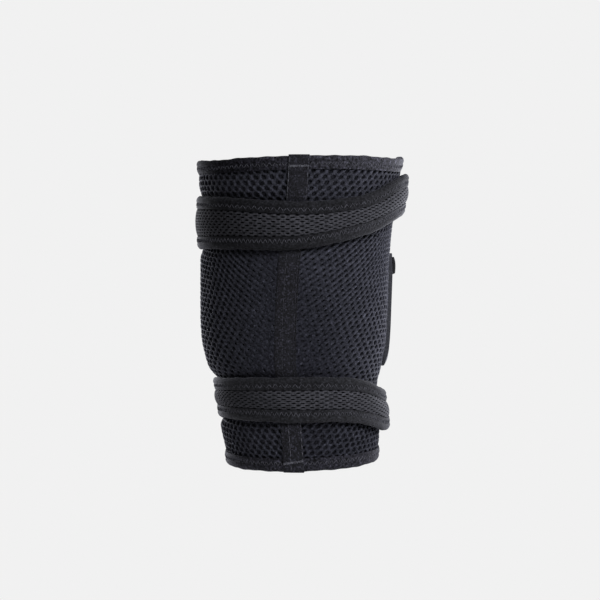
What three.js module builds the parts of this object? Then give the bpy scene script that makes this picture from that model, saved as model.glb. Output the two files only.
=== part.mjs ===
// Knee support: a pull-on sleeve of spacer mesh with two bound rims, a taped seam down its back,
// two elastic wrap straps that close on themselves at the front, and a thin pad on one side.
// Millimetres. +Z runs up the leg, the back of the knee faces -Y, and the origin is on the leg's
// axis at the middle of the knee. Angles are degrees round the leg, from the back (0) towards +X (90).

import * as THREE from 'three';
import { LoftGeometry } from 'three/addons/geometries/LoftGeometry.js';

// Driving sizes
const FULL_TURN = 360;
const COLUMN_STEP = 10;
const LEAST_STEP = 1;
const PIECE_GAP = 0.3;

const SLEEVE = { wall: 3.0 };

// A rim is a tilted ring: its height at the sides, and how far the +X side and the back differ.
const RIMS = {
  top: { height: 97.7, sideRise: 1.5, backRise: -1.0 },
  bottom: { height: -115.5, sideRise: 1.4, backRise: -1.4 },
};

const HEM = { fold: 1.0, gap: 0.25, leg: 9.2, round: 0.9, unpinchedReach: 6.0 };

const TAPE = { thickness: 0.8, width: 14.0, overhang: 0.4, climb: 4.0 };

const STRAP = {
  core: 1.6,
  crown: 1.9,
  fold: 1.0,
  gap: 0.25,
  leg: 8.6,
  round: 1.0,
  startAngle: -190,
  endAngle: 220,
  pinchFade: 5.0,
};

const TAB = {
  depth: 0.9,
  thickness: 2.0,
  gapAngle: 0.3,
  reach: 15.7,
  inset: 2.0,
  roundedFrom: 0.45,
  endNarrowing: 0.3,
  steps: [0, 0.25, 0.45, 0.65, 0.82, 0.94, 1],
};

// The pad and its tab thin out over a taper at their lower and upper ends.
const PAD = {
  thickness: 1.9,
  startAngle: 86.0,
  endAngle: 130.0,
  bottom: -47.6,
  top: 34.0,
  corner: 9.0,
  taper: { bottom: 7.0, top: 14.0 },
  rows: [0, 0.02, 0.05, 0.09, 0.28, 0.46, 0.64, 0.82, 0.9, 0.96, 1],
  endLift: 0.9,
};

const PAD_TAB = {
  thickness: 1.5,
  startAngle: 86.5,
  endAngle: 100.0,
  bottom: 18.6,
  top: 31.0,
  corner: 2.5,
  taper: { bottom: 1.0, top: 5.0 },
  rows: [0, 0.05, 0.12, 0.4, 0.65, 0.85, 0.95, 1],
};

// Round corners of the pad and its tab: steps through a corner, and how much is left at the end of a
// corner or a taper.
const CORNER = { steps: [0, 0.12, 0.35, 0.65, 1], endShare: 0.32 };

// Half-widths of the sleeve's outside at each height, to the left (-X), right (+X), back and front.
const SECTIONS = [
  { z: -118, left: 51.6, right: 54.4, back: 55.0, front: 51.5 },
  { z: -106, left: 53.6, right: 56.3, back: 56.5, front: 52.5 },
  { z: -89, left: 57.7, right: 57.6, back: 59.5, front: 54.0 },
  { z: -72, left: 59.2, right: 55.6, back: 61.0, front: 56.0 },
  { z: -56, left: 62.4, right: 56.2, back: 61.0, front: 59.0 },
  { z: -43, left: 67.8, right: 60.0, back: 61.0, front: 62.5 },
  { z: -28, left: 71.2, right: 62.3, back: 61.5, front: 66.0 },
  { z: 0, left: 72.0, right: 63.6, back: 62.5, front: 69.5 },
  { z: 36, left: 71.9, right: 64.8, back: 66.0, front: 70.5 },
  { z: 61, left: 72.2, right: 67.7, back: 69.5, front: 71.0 },
  { z: 79, left: 72.7, right: 70.8, back: 71.5, front: 73.0 },
  { z: 102, left: 73.0, right: 73.9, back: 73.0, front: 74.5 },
];

// The straps' routes: height of the middle, width, and how deep the strap pinches the sleeve at each
// angle. A strap's clearance from the pinched sleeve grows until it passes over its own start at the
// front, and where it leans its lower edge stands further out than its upper edge.
const STRAP_TABLES = {
  upper: {
    route: [
      { angle: -135, middle: 61.0, width: 36.0, pinch: 2.0 },
      { angle: -90, middle: 55.8, width: 37.5, pinch: 2.3 },
      { angle: -45, middle: 52.6, width: 35.4, pinch: 2.2 },
      { angle: 0, middle: 50.0, width: 32.0, pinch: 1.8 },
      { angle: 25, middle: 54.0, width: 29.0, pinch: 1.5 },
      { angle: 45, middle: 60.0, width: 28.6, pinch: 1.0 },
      { angle: 65, middle: 69.6, width: 30.0, pinch: 0.5 },
      { angle: 85, middle: 75.4, width: 29.5, pinch: 0.1 },
      { angle: 110, middle: 76.0, width: 29.0, pinch: 0.1 },
      { angle: 150, middle: 72.0, width: 31.0, pinch: 0.4 },
      { angle: 180, middle: 67.5, width: 33.5, pinch: 0.9 },
    ],
    clearance: [
      { angle: -200, clear: 0.6, lean: 0.0 },
      { angle: -60, clear: 0.6, lean: 0.0 },
      { angle: -18, clear: 1.45, lean: 0.0 },
      { angle: 12, clear: 1.6, lean: 0.3 },
      { angle: 60, clear: 2.2, lean: 1.8 },
      { angle: 90, clear: 3.1, lean: 1.2 },
      { angle: 125, clear: 3.9, lean: 1.0 },
      { angle: 162, clear: 5.1, lean: 0.0 },
      { angle: 245, clear: 5.1, lean: 0.0 },
    ],
  },
  lower: {
    route: [
      { angle: -135, middle: -73.0, width: 28.5, pinch: 3.0 },
      { angle: -90, middle: -69.6, width: 28.0, pinch: 3.6 },
      { angle: -45, middle: -68.2, width: 29.4, pinch: 3.2 },
      { angle: 0, middle: -67.7, width: 31.0, pinch: 1.8 },
      { angle: 33, middle: -68.2, width: 30.6, pinch: 1.3 },
      { angle: 56, middle: -72.3, width: 31.0, pinch: 0.8 },
      { angle: 74, middle: -77.0, width: 30.4, pinch: 0.4 },
      { angle: 95, middle: -78.2, width: 27.8, pinch: 0.1 },
      { angle: 130, middle: -79.4, width: 28.2, pinch: 0.4 },
      { angle: 180, middle: -77.5, width: 28.6, pinch: 1.4 },
    ],
    clearance: [
      { angle: -200, clear: 0.6, lean: 0.0 },
      { angle: -60, clear: 0.6, lean: 0.0 },
      { angle: -18, clear: 1.45, lean: 0.0 },
      { angle: 12, clear: 1.5, lean: 0.0 },
      { angle: 60, clear: 2.0, lean: 0.6 },
      { angle: 90, clear: 3.2, lean: 1.0 },
      { angle: 125, clear: 4.0, lean: 0.5 },
      { angle: 162, clear: 5.1, lean: 0.0 },
      { angle: 245, clear: 5.1, lean: 0.0 },
    ],
  },
};

// Where the middle of the seam tape runs, across the back.
const TAPE_ROUTE = [
  { z: -118, x: -4.0 },
  { z: -105, x: -4.6 },
  { z: -84, x: -6.3 },
  { z: -45, x: -10.2 },
  { z: -14, x: -10.0 },
  { z: 35, x: -6.8 },
  { z: 68, x: -2.4 },
  { z: 102, x: -0.3 },
];

// Rows of facets up the sleeve, as shares of each band between its lines.
const SLEEVE_BANDS = [
  { from: 'bottomRim', to: 'lowerBottom', shares: [0, 0.3, 0.52, 0.74, 0.88] },
  { from: 'lowerBottom', to: 'lowerTop', shares: [0, 0.5] },
  { from: 'lowerTop', to: 'upperBottom', shares: [0, 0.055, 0.12, 0.27, 0.43, 0.58, 0.73, 0.88, 0.945] },
  { from: 'upperBottom', to: 'upperTop', shares: [0, 0.5] },
  { from: 'upperTop', to: 'topRim', shares: [0, 0.15, 0.32, 0.66, 1] },
];

// Finishes
const FINISHES = {
  sleeveMesh: { color: 0x25252b, roughness: 0.92, metalness: 0 },
  hemBinding: { color: 0x202023, roughness: 0.9, metalness: 0 },
  seamTape: { color: 0x232327, roughness: 0.88, metalness: 0 },
  strapMesh: { color: 0x2d2d2f, roughness: 0.9, metalness: 0 },
  strapBinding: { color: 0x232324, roughness: 0.9, metalness: 0 },
  hookTab: { color: 0x1b1b1c, roughness: 0.75, metalness: 0 },
  sidePad: { color: 0x2a2a2e, roughness: 0.85, metalness: 0 },
};

/** Smooth curve through a table's rows: a function from the key column to the other columns. */
function throughRows(rows, key, period = 0) {
  const columns = Object.keys(rows[0]).filter((name) => name !== key);
  const turns = period ? [-1, 0, 1] : [0];
  const allRows = turns.flatMap((turn) => rows.map((row) => ({ ...row, [key]: row[key] + turn * period })));
  const places = allRows.map((row) => row[key]);
  const values = allRows.flatMap((row) => columns.map((name) => row[name]));
  const curve = new THREE.CubicInterpolant(places, values, columns.length, new Float64Array(columns.length));
  return (place) => {
    const found = curve.evaluate(place);
    return Object.fromEntries(columns.map((name, i) => [name, found[i]]));
  };
}

const sectionAt = throughRows(SECTIONS, 'z');
const tapeAt = throughRows(TAPE_ROUTE, 'z');

/** Height of a rim's outermost edge at an angle. */
function rimHeight(rim, angle) {
  const turn = THREE.MathUtils.degToRad(angle);
  return rim.height + rim.sideRise * Math.sin(turn) + rim.backRise * Math.cos(turn);
}

/** Point on the outside of the unpinched sleeve, moved outwards by lift. */
function skin(angle, z, lift) {
  const turn = THREE.MathUtils.degToRad(angle);
  const section = sectionAt(z);
  const across = Math.sin(turn);
  const along = -Math.cos(turn);
  const halfX = across >= 0 ? section.right : section.left;
  const halfY = along >= 0 ? section.front : section.back;
  const outward = new THREE.Vector2(across / halfX, along / halfY).normalize();
  return new THREE.Vector3(halfX * across + outward.x * lift, halfY * along + outward.y * lift, z);
}

/** A strap's edges, pinch and lift as functions of the angle. */
function strapCourse(table) {
  const route = throughRows(table.route, 'angle', FULL_TURN);
  const clearance = throughRows(table.clearance, 'angle');
  return {
    pinch: (angle) => route(angle).pinch,
    bottom: (angle) => route(angle).middle - route(angle).width / 2,
    width: (angle) => route(angle).width,
    lift: (angle, height) => {
      const { width, pinch } = route(angle);
      const { clear, lean } = clearance(angle);
      return clear - pinch + lean * (0.5 - height / width);
    },
  };
}

const COURSES = {
  upper: strapCourse(STRAP_TABLES.upper),
  lower: strapCourse(STRAP_TABLES.lower),
};

/** How deep the straps press the sleeve in at a place: full under a strap, none at the hems. */
function pinchDepth(angle, z) {
  const depths = Object.values(COURSES).map((course) => {
    const bottom = course.bottom(angle);
    const outside = Math.max(bottom - z, z - bottom - course.width(angle), 0);
    return course.pinch(angle) * (1 - THREE.MathUtils.smoothstep(outside, 0, STRAP.pinchFade));
  });
  const fromBottom = z - rimHeight(RIMS.bottom, angle) - HEM.leg;
  const fromTop = rimHeight(RIMS.top, angle) - HEM.leg - z;
  const freedom = THREE.MathUtils.smoothstep(Math.min(fromBottom, fromTop), 0, HEM.unpinchedReach);
  return Math.max(...depths) * freedom;
}

/** Point on the outside of the worn sleeve, moved outwards by lift. */
function sleeveFace(angle, z, lift) {
  return skin(angle, z, lift - pinchDepth(angle, z));
}

/** Heights of the lines between the sleeve's bands at an angle. */
function bandLines(angle) {
  const inset = HEM.fold + HEM.gap;
  const { upper, lower } = COURSES;
  return {
    bottomRim: rimHeight(RIMS.bottom, angle) + inset,
    lowerBottom: lower.bottom(angle),
    lowerTop: lower.bottom(angle) + lower.width(angle),
    upperBottom: upper.bottom(angle),
    upperTop: upper.bottom(angle) + upper.width(angle),
    topRim: rimHeight(RIMS.top, angle) - inset,
  };
}

/** Heights of the sleeve's rows of facets at an angle, upwards. */
function rowHeights(angle) {
  const lines = bandLines(angle);
  return SLEEVE_BANDS.flatMap(({ from, to, shares }) =>
    shares.map((share) => THREE.MathUtils.lerp(lines[from], lines[to], share)),
  );
}

/** Angles from first to last at the columns of facets, both ends included. */
function columnAngles(first, last) {
  const angles = [first];
  const firstColumn = Math.ceil((first + LEAST_STEP) / COLUMN_STEP) * COLUMN_STEP;
  for (let angle = firstColumn; angle < last - LEAST_STEP; angle += COLUMN_STEP) {
    angles.push(angle);
  }
  angles.push(last);
  return angles;
}

/** Section of a folded binding that opens upwards: depth outwards, and height above its fold. */
function foldSection(total, fold, leg, round) {
  return [
    { depth: total, height: round },
    { depth: total - round, height: 0 },
    { depth: round, height: 0 },
    { depth: 0, height: round },
    { depth: 0, height: leg },
    { depth: fold, height: leg },
    { depth: fold, height: fold },
    { depth: total - fold, height: fold },
    { depth: total - fold, height: leg },
    { depth: total, height: leg },
  ];
}

/** The same section turned over, so that it opens downwards. */
function turnedOver(section) {
  return section.map(({ depth, height }) => ({ depth, height: -height })).reverse();
}

/** Ring round the whole leg with one section at every column. */
function ringGeometry(sectionPoints) {
  return new LoftGeometry(columnAngles(0, FULL_TURN).map((angle) => sectionPoints(angle % FULL_TURN)));
}

/** Strip round part of the leg, closed at both ends. */
function stripGeometry(angles, sectionPoints) {
  return new LoftGeometry(angles.map(sectionPoints), { capStart: true, capEnd: true });
}

/** Hollow sleeve: rows up its inside and down its outside at each column. */
function sleeveGeometry() {
  return ringGeometry((angle) => {
    const heights = rowHeights(angle);
    const inside = heights.map((z) => sleeveFace(angle, z, -SLEEVE.wall));
    const outside = heights.map((z) => sleeveFace(angle, z, 0));
    return [...inside, ...outside.reverse()];
  });
}

/** Folded binding round a rim of the sleeve. */
function hemGeometry(rim, opensDown) {
  const total = SLEEVE.wall + 2 * (HEM.gap + HEM.fold);
  const innermost = HEM.gap + HEM.fold - total;
  const upright = foldSection(total, HEM.fold, HEM.leg, HEM.round);
  const section = opensDown ? turnedOver(upright) : upright;
  return ringGeometry((angle) =>
    section.map(({ depth, height }) => sleeveFace(angle, rimHeight(rim, angle) + height, innermost + depth)),
  );
}

/** Flat tape up the back seam, which climbs over both hems. */
function tapeGeometry() {
  const bottom = rimHeight(RIMS.bottom, 0);
  const top = rimHeight(RIMS.top, 0);
  const hemLift = HEM.gap + HEM.fold + PIECE_GAP;
  const hemReach = HEM.leg + PIECE_GAP;
  const free = { from: bottom + hemReach + TAPE.climb, to: top - hemReach - TAPE.climb };
  const freeRows = rowHeights(0).filter((z) => z > free.from + LEAST_STEP && z < free.to - LEAST_STEP);
  const rows = [
    { z: bottom - TAPE.overhang, lift: hemLift },
    { z: bottom + hemReach, lift: hemLift },
    { z: free.from, lift: PIECE_GAP },
    ...freeRows.map((z) => ({ z, lift: PIECE_GAP })),
    { z: free.to, lift: PIECE_GAP },
    { z: top - hemReach, lift: hemLift },
    { z: top + TAPE.overhang, lift: hemLift },
  ];
  const sections = rows.map(({ z, lift }) => {
    const { left, right } = sectionAt(z);
    const middle = tapeAt(z).x;
    const angles = [-0.5, 0, 0.5].map((share) => {
      const x = middle + share * TAPE.width;
      return THREE.MathUtils.radToDeg(Math.asin(x / (x < 0 ? left : right)));
    });
    const outer = angles.map((angle) => sleeveFace(angle, z, lift + TAPE.thickness));
    const inner = angles.map((angle) => sleeveFace(angle, z, lift));
    return [...outer, ...inner.reverse()];
  });
  return new LoftGeometry(sections, { capStart: true, capEnd: true });
}

/** Point of a strap: depth out from its inner face, and height above its lower edge. */
function strapPoint(course, angle, depth, height) {
  return skin(angle, course.bottom(angle) + height, course.lift(angle, height) + depth);
}

const STRAP_THICKNESS = STRAP.core + 2 * (STRAP.fold + STRAP.gap);

/** Elastic mesh band of a strap, which puffs out between its bindings. */
function strapCoreGeometry(course) {
  const inner = STRAP.fold + STRAP.gap;
  const outer = inner + STRAP.core;
  const margin = STRAP.fold + PIECE_GAP;
  const crownRows = [0, 0.2, 0.5, 0.8, 1];
  return stripGeometry(columnAngles(STRAP.startAngle, STRAP.endAngle), (angle) => {
    const width = course.width(angle);
    const upper = width - STRAP.leg;
    const flat = [margin, STRAP.leg, upper, width - margin];
    const crowned = crownRows.map((share) => ({
      height: THREE.MathUtils.lerp(STRAP.leg, upper, share),
      puff: STRAP.crown * Math.sqrt(Math.sin(Math.PI * share)),
    }));
    const outside = [{ height: margin, puff: 0 }, ...crowned, { height: width - margin, puff: 0 }];
    return [
      ...flat.map((height) => strapPoint(course, angle, inner, height)),
      ...outside.reverse().map(({ height, puff }) => strapPoint(course, angle, outer + puff, height)),
    ];
  });
}

/** Folded binding along the upper or lower edge of a strap. */
function strapBindingGeometry(course, onTop) {
  const upright = foldSection(STRAP_THICKNESS, STRAP.fold, STRAP.leg, STRAP.round);
  const section = onTop ? turnedOver(upright) : upright;
  return stripGeometry(columnAngles(STRAP.startAngle, STRAP.endAngle), (angle) => {
    const edge = onTop ? course.width(angle) : 0;
    return section.map(({ depth, height }) => strapPoint(course, angle, depth, edge + height));
  });
}

/** Plain hook tab that carries on from the end of a strap, with a rounded end. */
function tabGeometry(course) {
  const start = STRAP.endAngle + TAB.gapAngle;
  return stripGeometry(TAB.steps.map((step) => start + step * TAB.reach), (angle) => {
    const width = course.width(angle);
    const along = (angle - start) / TAB.reach;
    const rounded = Math.max(0, (along - TAB.roundedFrom) / (1 - TAB.roundedFrom));
    const narrowing = TAB.endNarrowing * width * (1 - Math.sqrt(Math.max(0, 1 - rounded ** 2)));
    const inset = TAB.inset + narrowing;
    const heights = [inset, width / 2, width - inset];
    const up = heights.map((height) => strapPoint(course, angle, TAB.depth, height));
    const down = heights.map((height) => strapPoint(course, angle, TAB.depth + TAB.thickness, height));
    return [...up, ...down.reverse()];
  });
}

/** Share of a rounded end that is left at a share of the way in from it. */
function roundedShare(fromEnd) {
  const share = THREE.MathUtils.clamp(fromEnd, 0, 1);
  return Math.sqrt(Math.max(CORNER.endShare ** 2, 1 - (1 - share) ** 2));
}

/** Thickness of a tapered patch between a low and a high end. */
function taperedThickness({ thickness, taper }, z, low, high) {
  return thickness * roundedShare(Math.min((z - low) / taper.bottom, (high - z) / taper.top));
}

/** Thin patch with rounded corners and tapered ends that follows the side of the sleeve at a lift. */
function patchGeometry(patch, liftAt) {
  const { startAngle, endAngle, bottom, top, corner, rows } = patch;
  const { right, front } = sectionAt((bottom + top) / 2);
  const cornerAngle = THREE.MathUtils.radToDeg(corner / ((right + front) / 2));
  const angles = [
    ...CORNER.steps.map((step) => startAngle + step * cornerAngle),
    ...columnAngles(startAngle + cornerAngle, endAngle - cornerAngle).slice(1, -1),
    ...CORNER.steps.map((step) => endAngle - step * cornerAngle).reverse(),
  ];
  return stripGeometry(angles, (angle) => {
    const inset = corner * (1 - roundedShare(Math.min(angle - startAngle, endAngle - angle) / cornerAngle));
    const [low, high] = [bottom + inset, top - inset];
    const heights = rows.map((row) => THREE.MathUtils.lerp(low, high, row));
    const up = heights.map((z) => sleeveFace(angle, z, liftAt(z)));
    const down = heights.map((z) => sleeveFace(angle, z, liftAt(z) + taperedThickness(patch, z, low, high)));
    return [...up, ...down.reverse()];
  });
}

/** Lift of the side pad's inner face, which rises a little towards both ends. */
function padLift(z) {
  const middle = (PAD.top + PAD.bottom) / 2;
  const reach = PAD.top - middle;
  return PIECE_GAP + PAD.endLift * ((z - middle) / reach) ** 2;
}

const kneeSupport = new THREE.Group();

/** Adds one named piece in one of the finishes. */
function addPiece(name, geometry, finish) {
  const mesh = new THREE.Mesh(geometry, new THREE.MeshStandardMaterial(FINISHES[finish]));
  mesh.name = name;
  kneeSupport.add(mesh);
}

addPiece('sleeve', sleeveGeometry(), 'sleeveMesh');
addPiece('top_hem', hemGeometry(RIMS.top, true), 'hemBinding');
addPiece('bottom_hem', hemGeometry(RIMS.bottom, false), 'hemBinding');
addPiece('back_seam_tape', tapeGeometry(), 'seamTape');

for (const [place, course] of Object.entries(COURSES)) {
  addPiece(`${place}_strap_mesh`, strapCoreGeometry(course), 'strapMesh');
  addPiece(`${place}_strap_top_binding`, strapBindingGeometry(course, true), 'strapBinding');
  addPiece(`${place}_strap_bottom_binding`, strapBindingGeometry(course, false), 'strapBinding');
  addPiece(`${place}_strap_tab`, tabGeometry(course), 'hookTab');
}

const padTabLift = (z) => padLift(z) + taperedThickness(PAD, z, PAD.bottom, PAD.top) + PIECE_GAP;
addPiece('side_pad', patchGeometry(PAD, padLift), 'sidePad');
addPiece('side_pad_tab', patchGeometry(PAD_TAB, padTabLift), 'hookTab');

export default kneeSupport;
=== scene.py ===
"""Knee support: the cloth, mesh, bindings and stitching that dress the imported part.

Metres, in the part's own frame: +Z up the sleeve, its back towards -Y, and the side pad towards +X.
Angles are radians round the sleeve, from the back (0) towards +X.
"""

import logging
import math
from collections.abc import Callable, Sequence
from dataclasses import dataclass, field
from enum import Enum

import bpy
import numpy as np
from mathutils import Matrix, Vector
from mathutils.bvhtree import BVHTree


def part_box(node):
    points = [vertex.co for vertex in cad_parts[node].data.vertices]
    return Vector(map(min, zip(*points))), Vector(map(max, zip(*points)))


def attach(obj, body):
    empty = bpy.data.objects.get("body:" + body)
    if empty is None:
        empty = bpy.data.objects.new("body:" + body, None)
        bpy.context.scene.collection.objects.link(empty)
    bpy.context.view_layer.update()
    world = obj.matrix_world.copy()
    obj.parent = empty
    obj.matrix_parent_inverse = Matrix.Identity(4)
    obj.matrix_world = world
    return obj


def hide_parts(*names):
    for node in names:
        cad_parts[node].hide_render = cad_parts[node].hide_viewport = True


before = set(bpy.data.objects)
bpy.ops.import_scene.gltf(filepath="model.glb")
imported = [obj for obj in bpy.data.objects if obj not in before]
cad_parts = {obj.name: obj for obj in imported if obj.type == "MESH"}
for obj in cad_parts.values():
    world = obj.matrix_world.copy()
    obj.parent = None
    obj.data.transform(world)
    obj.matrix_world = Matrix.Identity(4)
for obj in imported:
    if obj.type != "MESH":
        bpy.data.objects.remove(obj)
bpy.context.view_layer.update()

LOG = logging.getLogger("knee_support")
BODY = "root"
FULL_TURN = 2 * math.pi
WELD = 1e-6
FAR_OUT = 0.3
ROUND_STEPS = 72
ROW_MARGIN = 0.001
SIDE_REACH = 0.7
THREAD_SIDES = 6
STITCH_POINTS = 5
HEM_THINNING = 0.0009
TOP_SWAY = ((math.radians(-92), math.radians(26), 0.0038), (math.radians(93), math.radians(15), 0.0040))

# Drift of colour, flecks, lint, painted highlight on yarn tops, fuzz and sheen of yarn, the same for all
# finishes
DRIFT_SCALE = 45.0
FLECK_RANGE = (0.36, 0.64)
LINT_SCALE = 0.8
LINT_RANGE = 0.06
YARN_LIFT = 0.35
FUZZ_SHARE = 0.45
SHEEN_ROUGHNESS = 0.45
SHEEN_TINT = (0.75, 0.76, 0.85, 1.0)

Array = np.ndarray
Piece = bpy.types.Object
Socket = bpy.types.NodeSocket
Colour = tuple[float, float, float]
Sides = tuple[float, float, float]
Pair = tuple[float, float]
Line = Callable[[Array], Array]
Laying = Callable[[Array], tuple[Array, Array]]


class Weave(Enum):
    """How the yarn of a finish lies."""

    KNIT = "knit"
    FLEECE = "fleece"


@dataclass(frozen=True)
class Finish:
    """One cloth finish: its colour, its yarn and how it takes the light.

    Attributes:
        name: Name of the material.
        slot: The record's material slot; not used.
        colour: Linear colour of the yarn.
        weave: How the yarn lies.
        grain: Size of one loop or tuft of yarn.
        relief: Height of the yarn's bump.
        contrast: Painted shade in the dips between yarns, how much darker they are from 0 to 1, with a
            painted highlight on the tops.
        patches: How much the colour drifts from place to place, from 0 to 1.
        speck: Size of the light and dark flecks in the yarn.
        flecks: How strong they are, from 0 to 1.
        lint: How much lighter the bits of lint are.
        lint_from: Where in the noise's range they begin; less for more of them.
        roughness: Roughness of the yarn.
        gloss: Strength of the yarn's shine.
        sheen: Weight of the fuzz.
        painted_shade_colour: Share of the colour that is left under full painted shade, as at the bottom of
            holes.
    """

    name: str
    slot: str
    colour: Colour
    weave: Weave
    grain: float
    relief: float
    contrast: float = 0.5
    patches: float = 0.15
    speck: float = 0.0015
    flecks: float = 0.45
    lint: float = 0.0
    lint_from: float = 0.74
    roughness: float = 0.9
    gloss: float = 0.25
    sheen: float = 0.1
    painted_shade_colour: float = 0.25

    def material(self) -> bpy.types.Material:
        """Makes the finish's material, or finds it if it was made before.

        Returns:
            The material.
        """
        found = bpy.data.materials.get(self.name)
        if found:
            return found
        made = bpy.data.materials.new(self.name)
        made.use_nodes = True
        self._wire(NodeBench(made.node_tree))
        return made

    def _wire(self, bench: "NodeBench") -> None:
        """Wires the yarn's colour and bump into the shader.

        Args:
            bench: The material's nodes.
        """
        shader = bench.tree.nodes["Principled BSDF"]
        yarn = self._yarn(bench)
        drift = bench.noise(bench.object_place(), scale=DRIFT_SCALE, detail=2.0)
        fleck = bench.noise(bench.object_place(), scale=1.0 / self.speck, detail=2.0)
        # Painted shade in the dips between yarns and a painted highlight on their tops
        shade = bench.ramp(yarn, 1.0 - self.contrast, 1.0 + YARN_LIFT * self.contrast)
        drifted = bench.ramp(drift, 1.0 - self.patches, 1.0 + self.patches)
        flecked = bench.ramp(bench.stretched(fleck, *FLECK_RANGE), 1.0 - self.flecks, 1.0 + self.flecks)
        tone = bench.times(bench.times(shade, drifted), flecked)
        if self.lint:
            bits = bench.noise(bench.object_place(), scale=LINT_SCALE / self.speck, detail=0.0)
            spots = bench.stretched(bits, self.lint_from, self.lint_from + LINT_RANGE)
            tone = bench.times(tone, bench.ramp(spots, 1.0, 1.0 + self.lint))
        # Painted shade from the mesh: it darkens the colour and takes away shine and fuzz
        painted_shade = bench.attribute("painted_shade")
        tone = bench.times(tone, bench.ramp(painted_shade, 1.0, self.painted_shade_colour))
        bench.link(bench.tinted(self.colour, tone), shader.inputs["Base Color"])
        bench.link(bench.bump(yarn, self.relief), shader.inputs["Normal"])
        shader.inputs["Roughness"].default_value = self.roughness
        bench.link(bench.ramp(painted_shade, self.gloss, 0.0), shader.inputs["Specular IOR Level"])
        bench.link(bench.ramp(painted_shade, self.sheen, 0.0), shader.inputs["Sheen Weight"])
        shader.inputs["Sheen Roughness"].default_value = SHEEN_ROUGHNESS
        shader.inputs["Sheen Tint"].default_value = SHEEN_TINT

    def _yarn(self, bench: "NodeBench") -> Socket:
        """Height of the yarn, from 0 in the dips to 1 on top.

        Args:
            bench: The material's nodes.

        Returns:
            The socket that carries it.
        """
        fuzz = bench.noise(bench.object_place(), scale=1.0 / self.grain, detail=3.0)
        if self.weave is Weave.FLEECE:
            return fuzz
        loops = bench.cells(bench.object_place(), scale=1.0 / self.grain)
        return bench.mixed(loops, fuzz, FUZZ_SHARE)


class NodeBench:
    """Short ways to add and join the nodes of one material."""

    def __init__(self, tree: bpy.types.NodeTree) -> None:
        """Keeps the node tree that nodes are added to."""
        self.tree = tree

    def link(self, source: Socket, target: Socket) -> None:
        """Joins two sockets."""
        self.tree.links.new(source, target)

    def node(self, kind: str, **settings: object) -> bpy.types.Node:
        """Adds a node.

        Args:
            kind: Its type's name.
            **settings: Properties to set on it.

        Returns:
            The node.
        """
        made = self.tree.nodes.new(kind)
        for name, value in settings.items():
            setattr(made, name, value)
        return made

    def wired(
        self, kind: str, result: str, inputs: dict[str | int, Socket | float | Colour], **settings: object
    ) -> Socket:
        """Adds a node and sets or links its inputs.

        Args:
            kind: Its type's name.
            result: Name of the output that is wanted.
            inputs: Values, or sockets to link, by input.
            **settings: Properties to set on it.

        Returns:
            The output.
        """
        made = self.node(kind, **settings)
        for name, value in inputs.items():
            if isinstance(value, Socket):
                self.link(value, made.inputs[name])
            else:
                made.inputs[name].default_value = value
        return made.outputs[result]

    def object_place(self) -> Socket:
        """Place on the piece, in metres."""
        return self.wired("ShaderNodeTexCoord", "Object", {})

    def noise(self, place: Socket, scale: float, detail: float) -> Socket:
        """Soft noise, about 0.5 on average, by its lumps to a metre and its octaves."""
        return self.wired("ShaderNodeTexNoise", "Fac", {"Vector": place, "Scale": scale, "Detail": detail})

    def cells(self, place: Socket, scale: float) -> Socket:
        """Rounded loops of yarn, high in the middle of each, by their number to a metre."""
        far = self.wired("ShaderNodeTexVoronoi", "Distance", {"Vector": place, "Scale": scale})
        return self.ramp(far, 1.0, 0.0)

    def attribute(self, name: str) -> Socket:
        """A value that the mesh carries at each point, or 0."""
        return self.wired("ShaderNodeAttribute", "Fac", {}, attribute_name=name)

    def times(self, first: Socket, second: Socket) -> Socket:
        """One value times another."""
        return self.wired("ShaderNodeMath", "Value", {0: first, 1: second}, operation="MULTIPLY")

    def ramp(self, value: Socket, low: float, high: float) -> Socket:
        """Carries a value from 0..1 to low..high."""
        return self.wired("ShaderNodeMapRange", "Result", {"Value": value, "To Min": low, "To Max": high})

    def stretched(self, value: Socket, low: float, high: float) -> Socket:
        """Carries a part of a noise's range, from low to high, to 0..1."""
        return self.wired("ShaderNodeMapRange", "Result", {"Value": value, "From Min": low, "From Max": high})

    def mixed(self, first: Socket, second: Socket, share: float) -> Socket:
        """Mixes two values, with a share of the second."""
        return self.wired("ShaderNodeMix", "Result", {"Factor": share, "A": first, "B": second})

    def tinted(self, colour: Colour, tone: Socket) -> Socket:
        """A colour made lighter or darker by a tone."""
        return self.wired("ShaderNodeVectorMath", "Vector", {0: colour, "Scale": tone}, operation="SCALE")

    def bump(self, height: Socket, distance: float) -> Socket:
        """A normal bumped by a height, over a distance."""
        return self.wired("ShaderNodeBump", "Normal", {"Height": height, "Distance": distance})


def thread_finish(name: str, slot: str, colour: Colour) -> Finish:
    """A sewing thread's finish."""
    return Finish(name, slot, colour, Weave.FLEECE, grain=0.0005, relief=0.0001)


NET_KNIT = Finish(
    "net_knit", "sleeve_mesh", (0.041, 0.042, 0.054), Weave.KNIT, grain=0.0012, relief=0.0003,
    flecks=0.5, lint=1.2, painted_shade_colour=0.28,
)
BACK_FLEECE = Finish(
    "back_fleece", "sleeve_mesh", (0.022, 0.022, 0.027), Weave.FLEECE, grain=0.0012, relief=0.0003,
    gloss=0.05, sheen=0.0,
)
HEM_KNIT = Finish(
    "hem_knit", "hem_binding", (0.0195, 0.0190, 0.0245), Weave.KNIT, grain=0.0014, relief=0.0003,
    flecks=0.95, lint=1.3, lint_from=0.6,
)
TAPE_KNIT = Finish(
    "tape_knit", "seam_tape", (0.0073, 0.0072, 0.0096), Weave.KNIT, grain=0.0012, relief=0.0004,
    speck=0.0011, flecks=0.9, lint=1.9, lint_from=0.58,
)
STRAP_NET = Finish(
    "strap_net", "strap_mesh", (0.040, 0.040, 0.045), Weave.KNIT, grain=0.0011, relief=0.0002, painted_shade_colour=0.06
)
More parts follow.
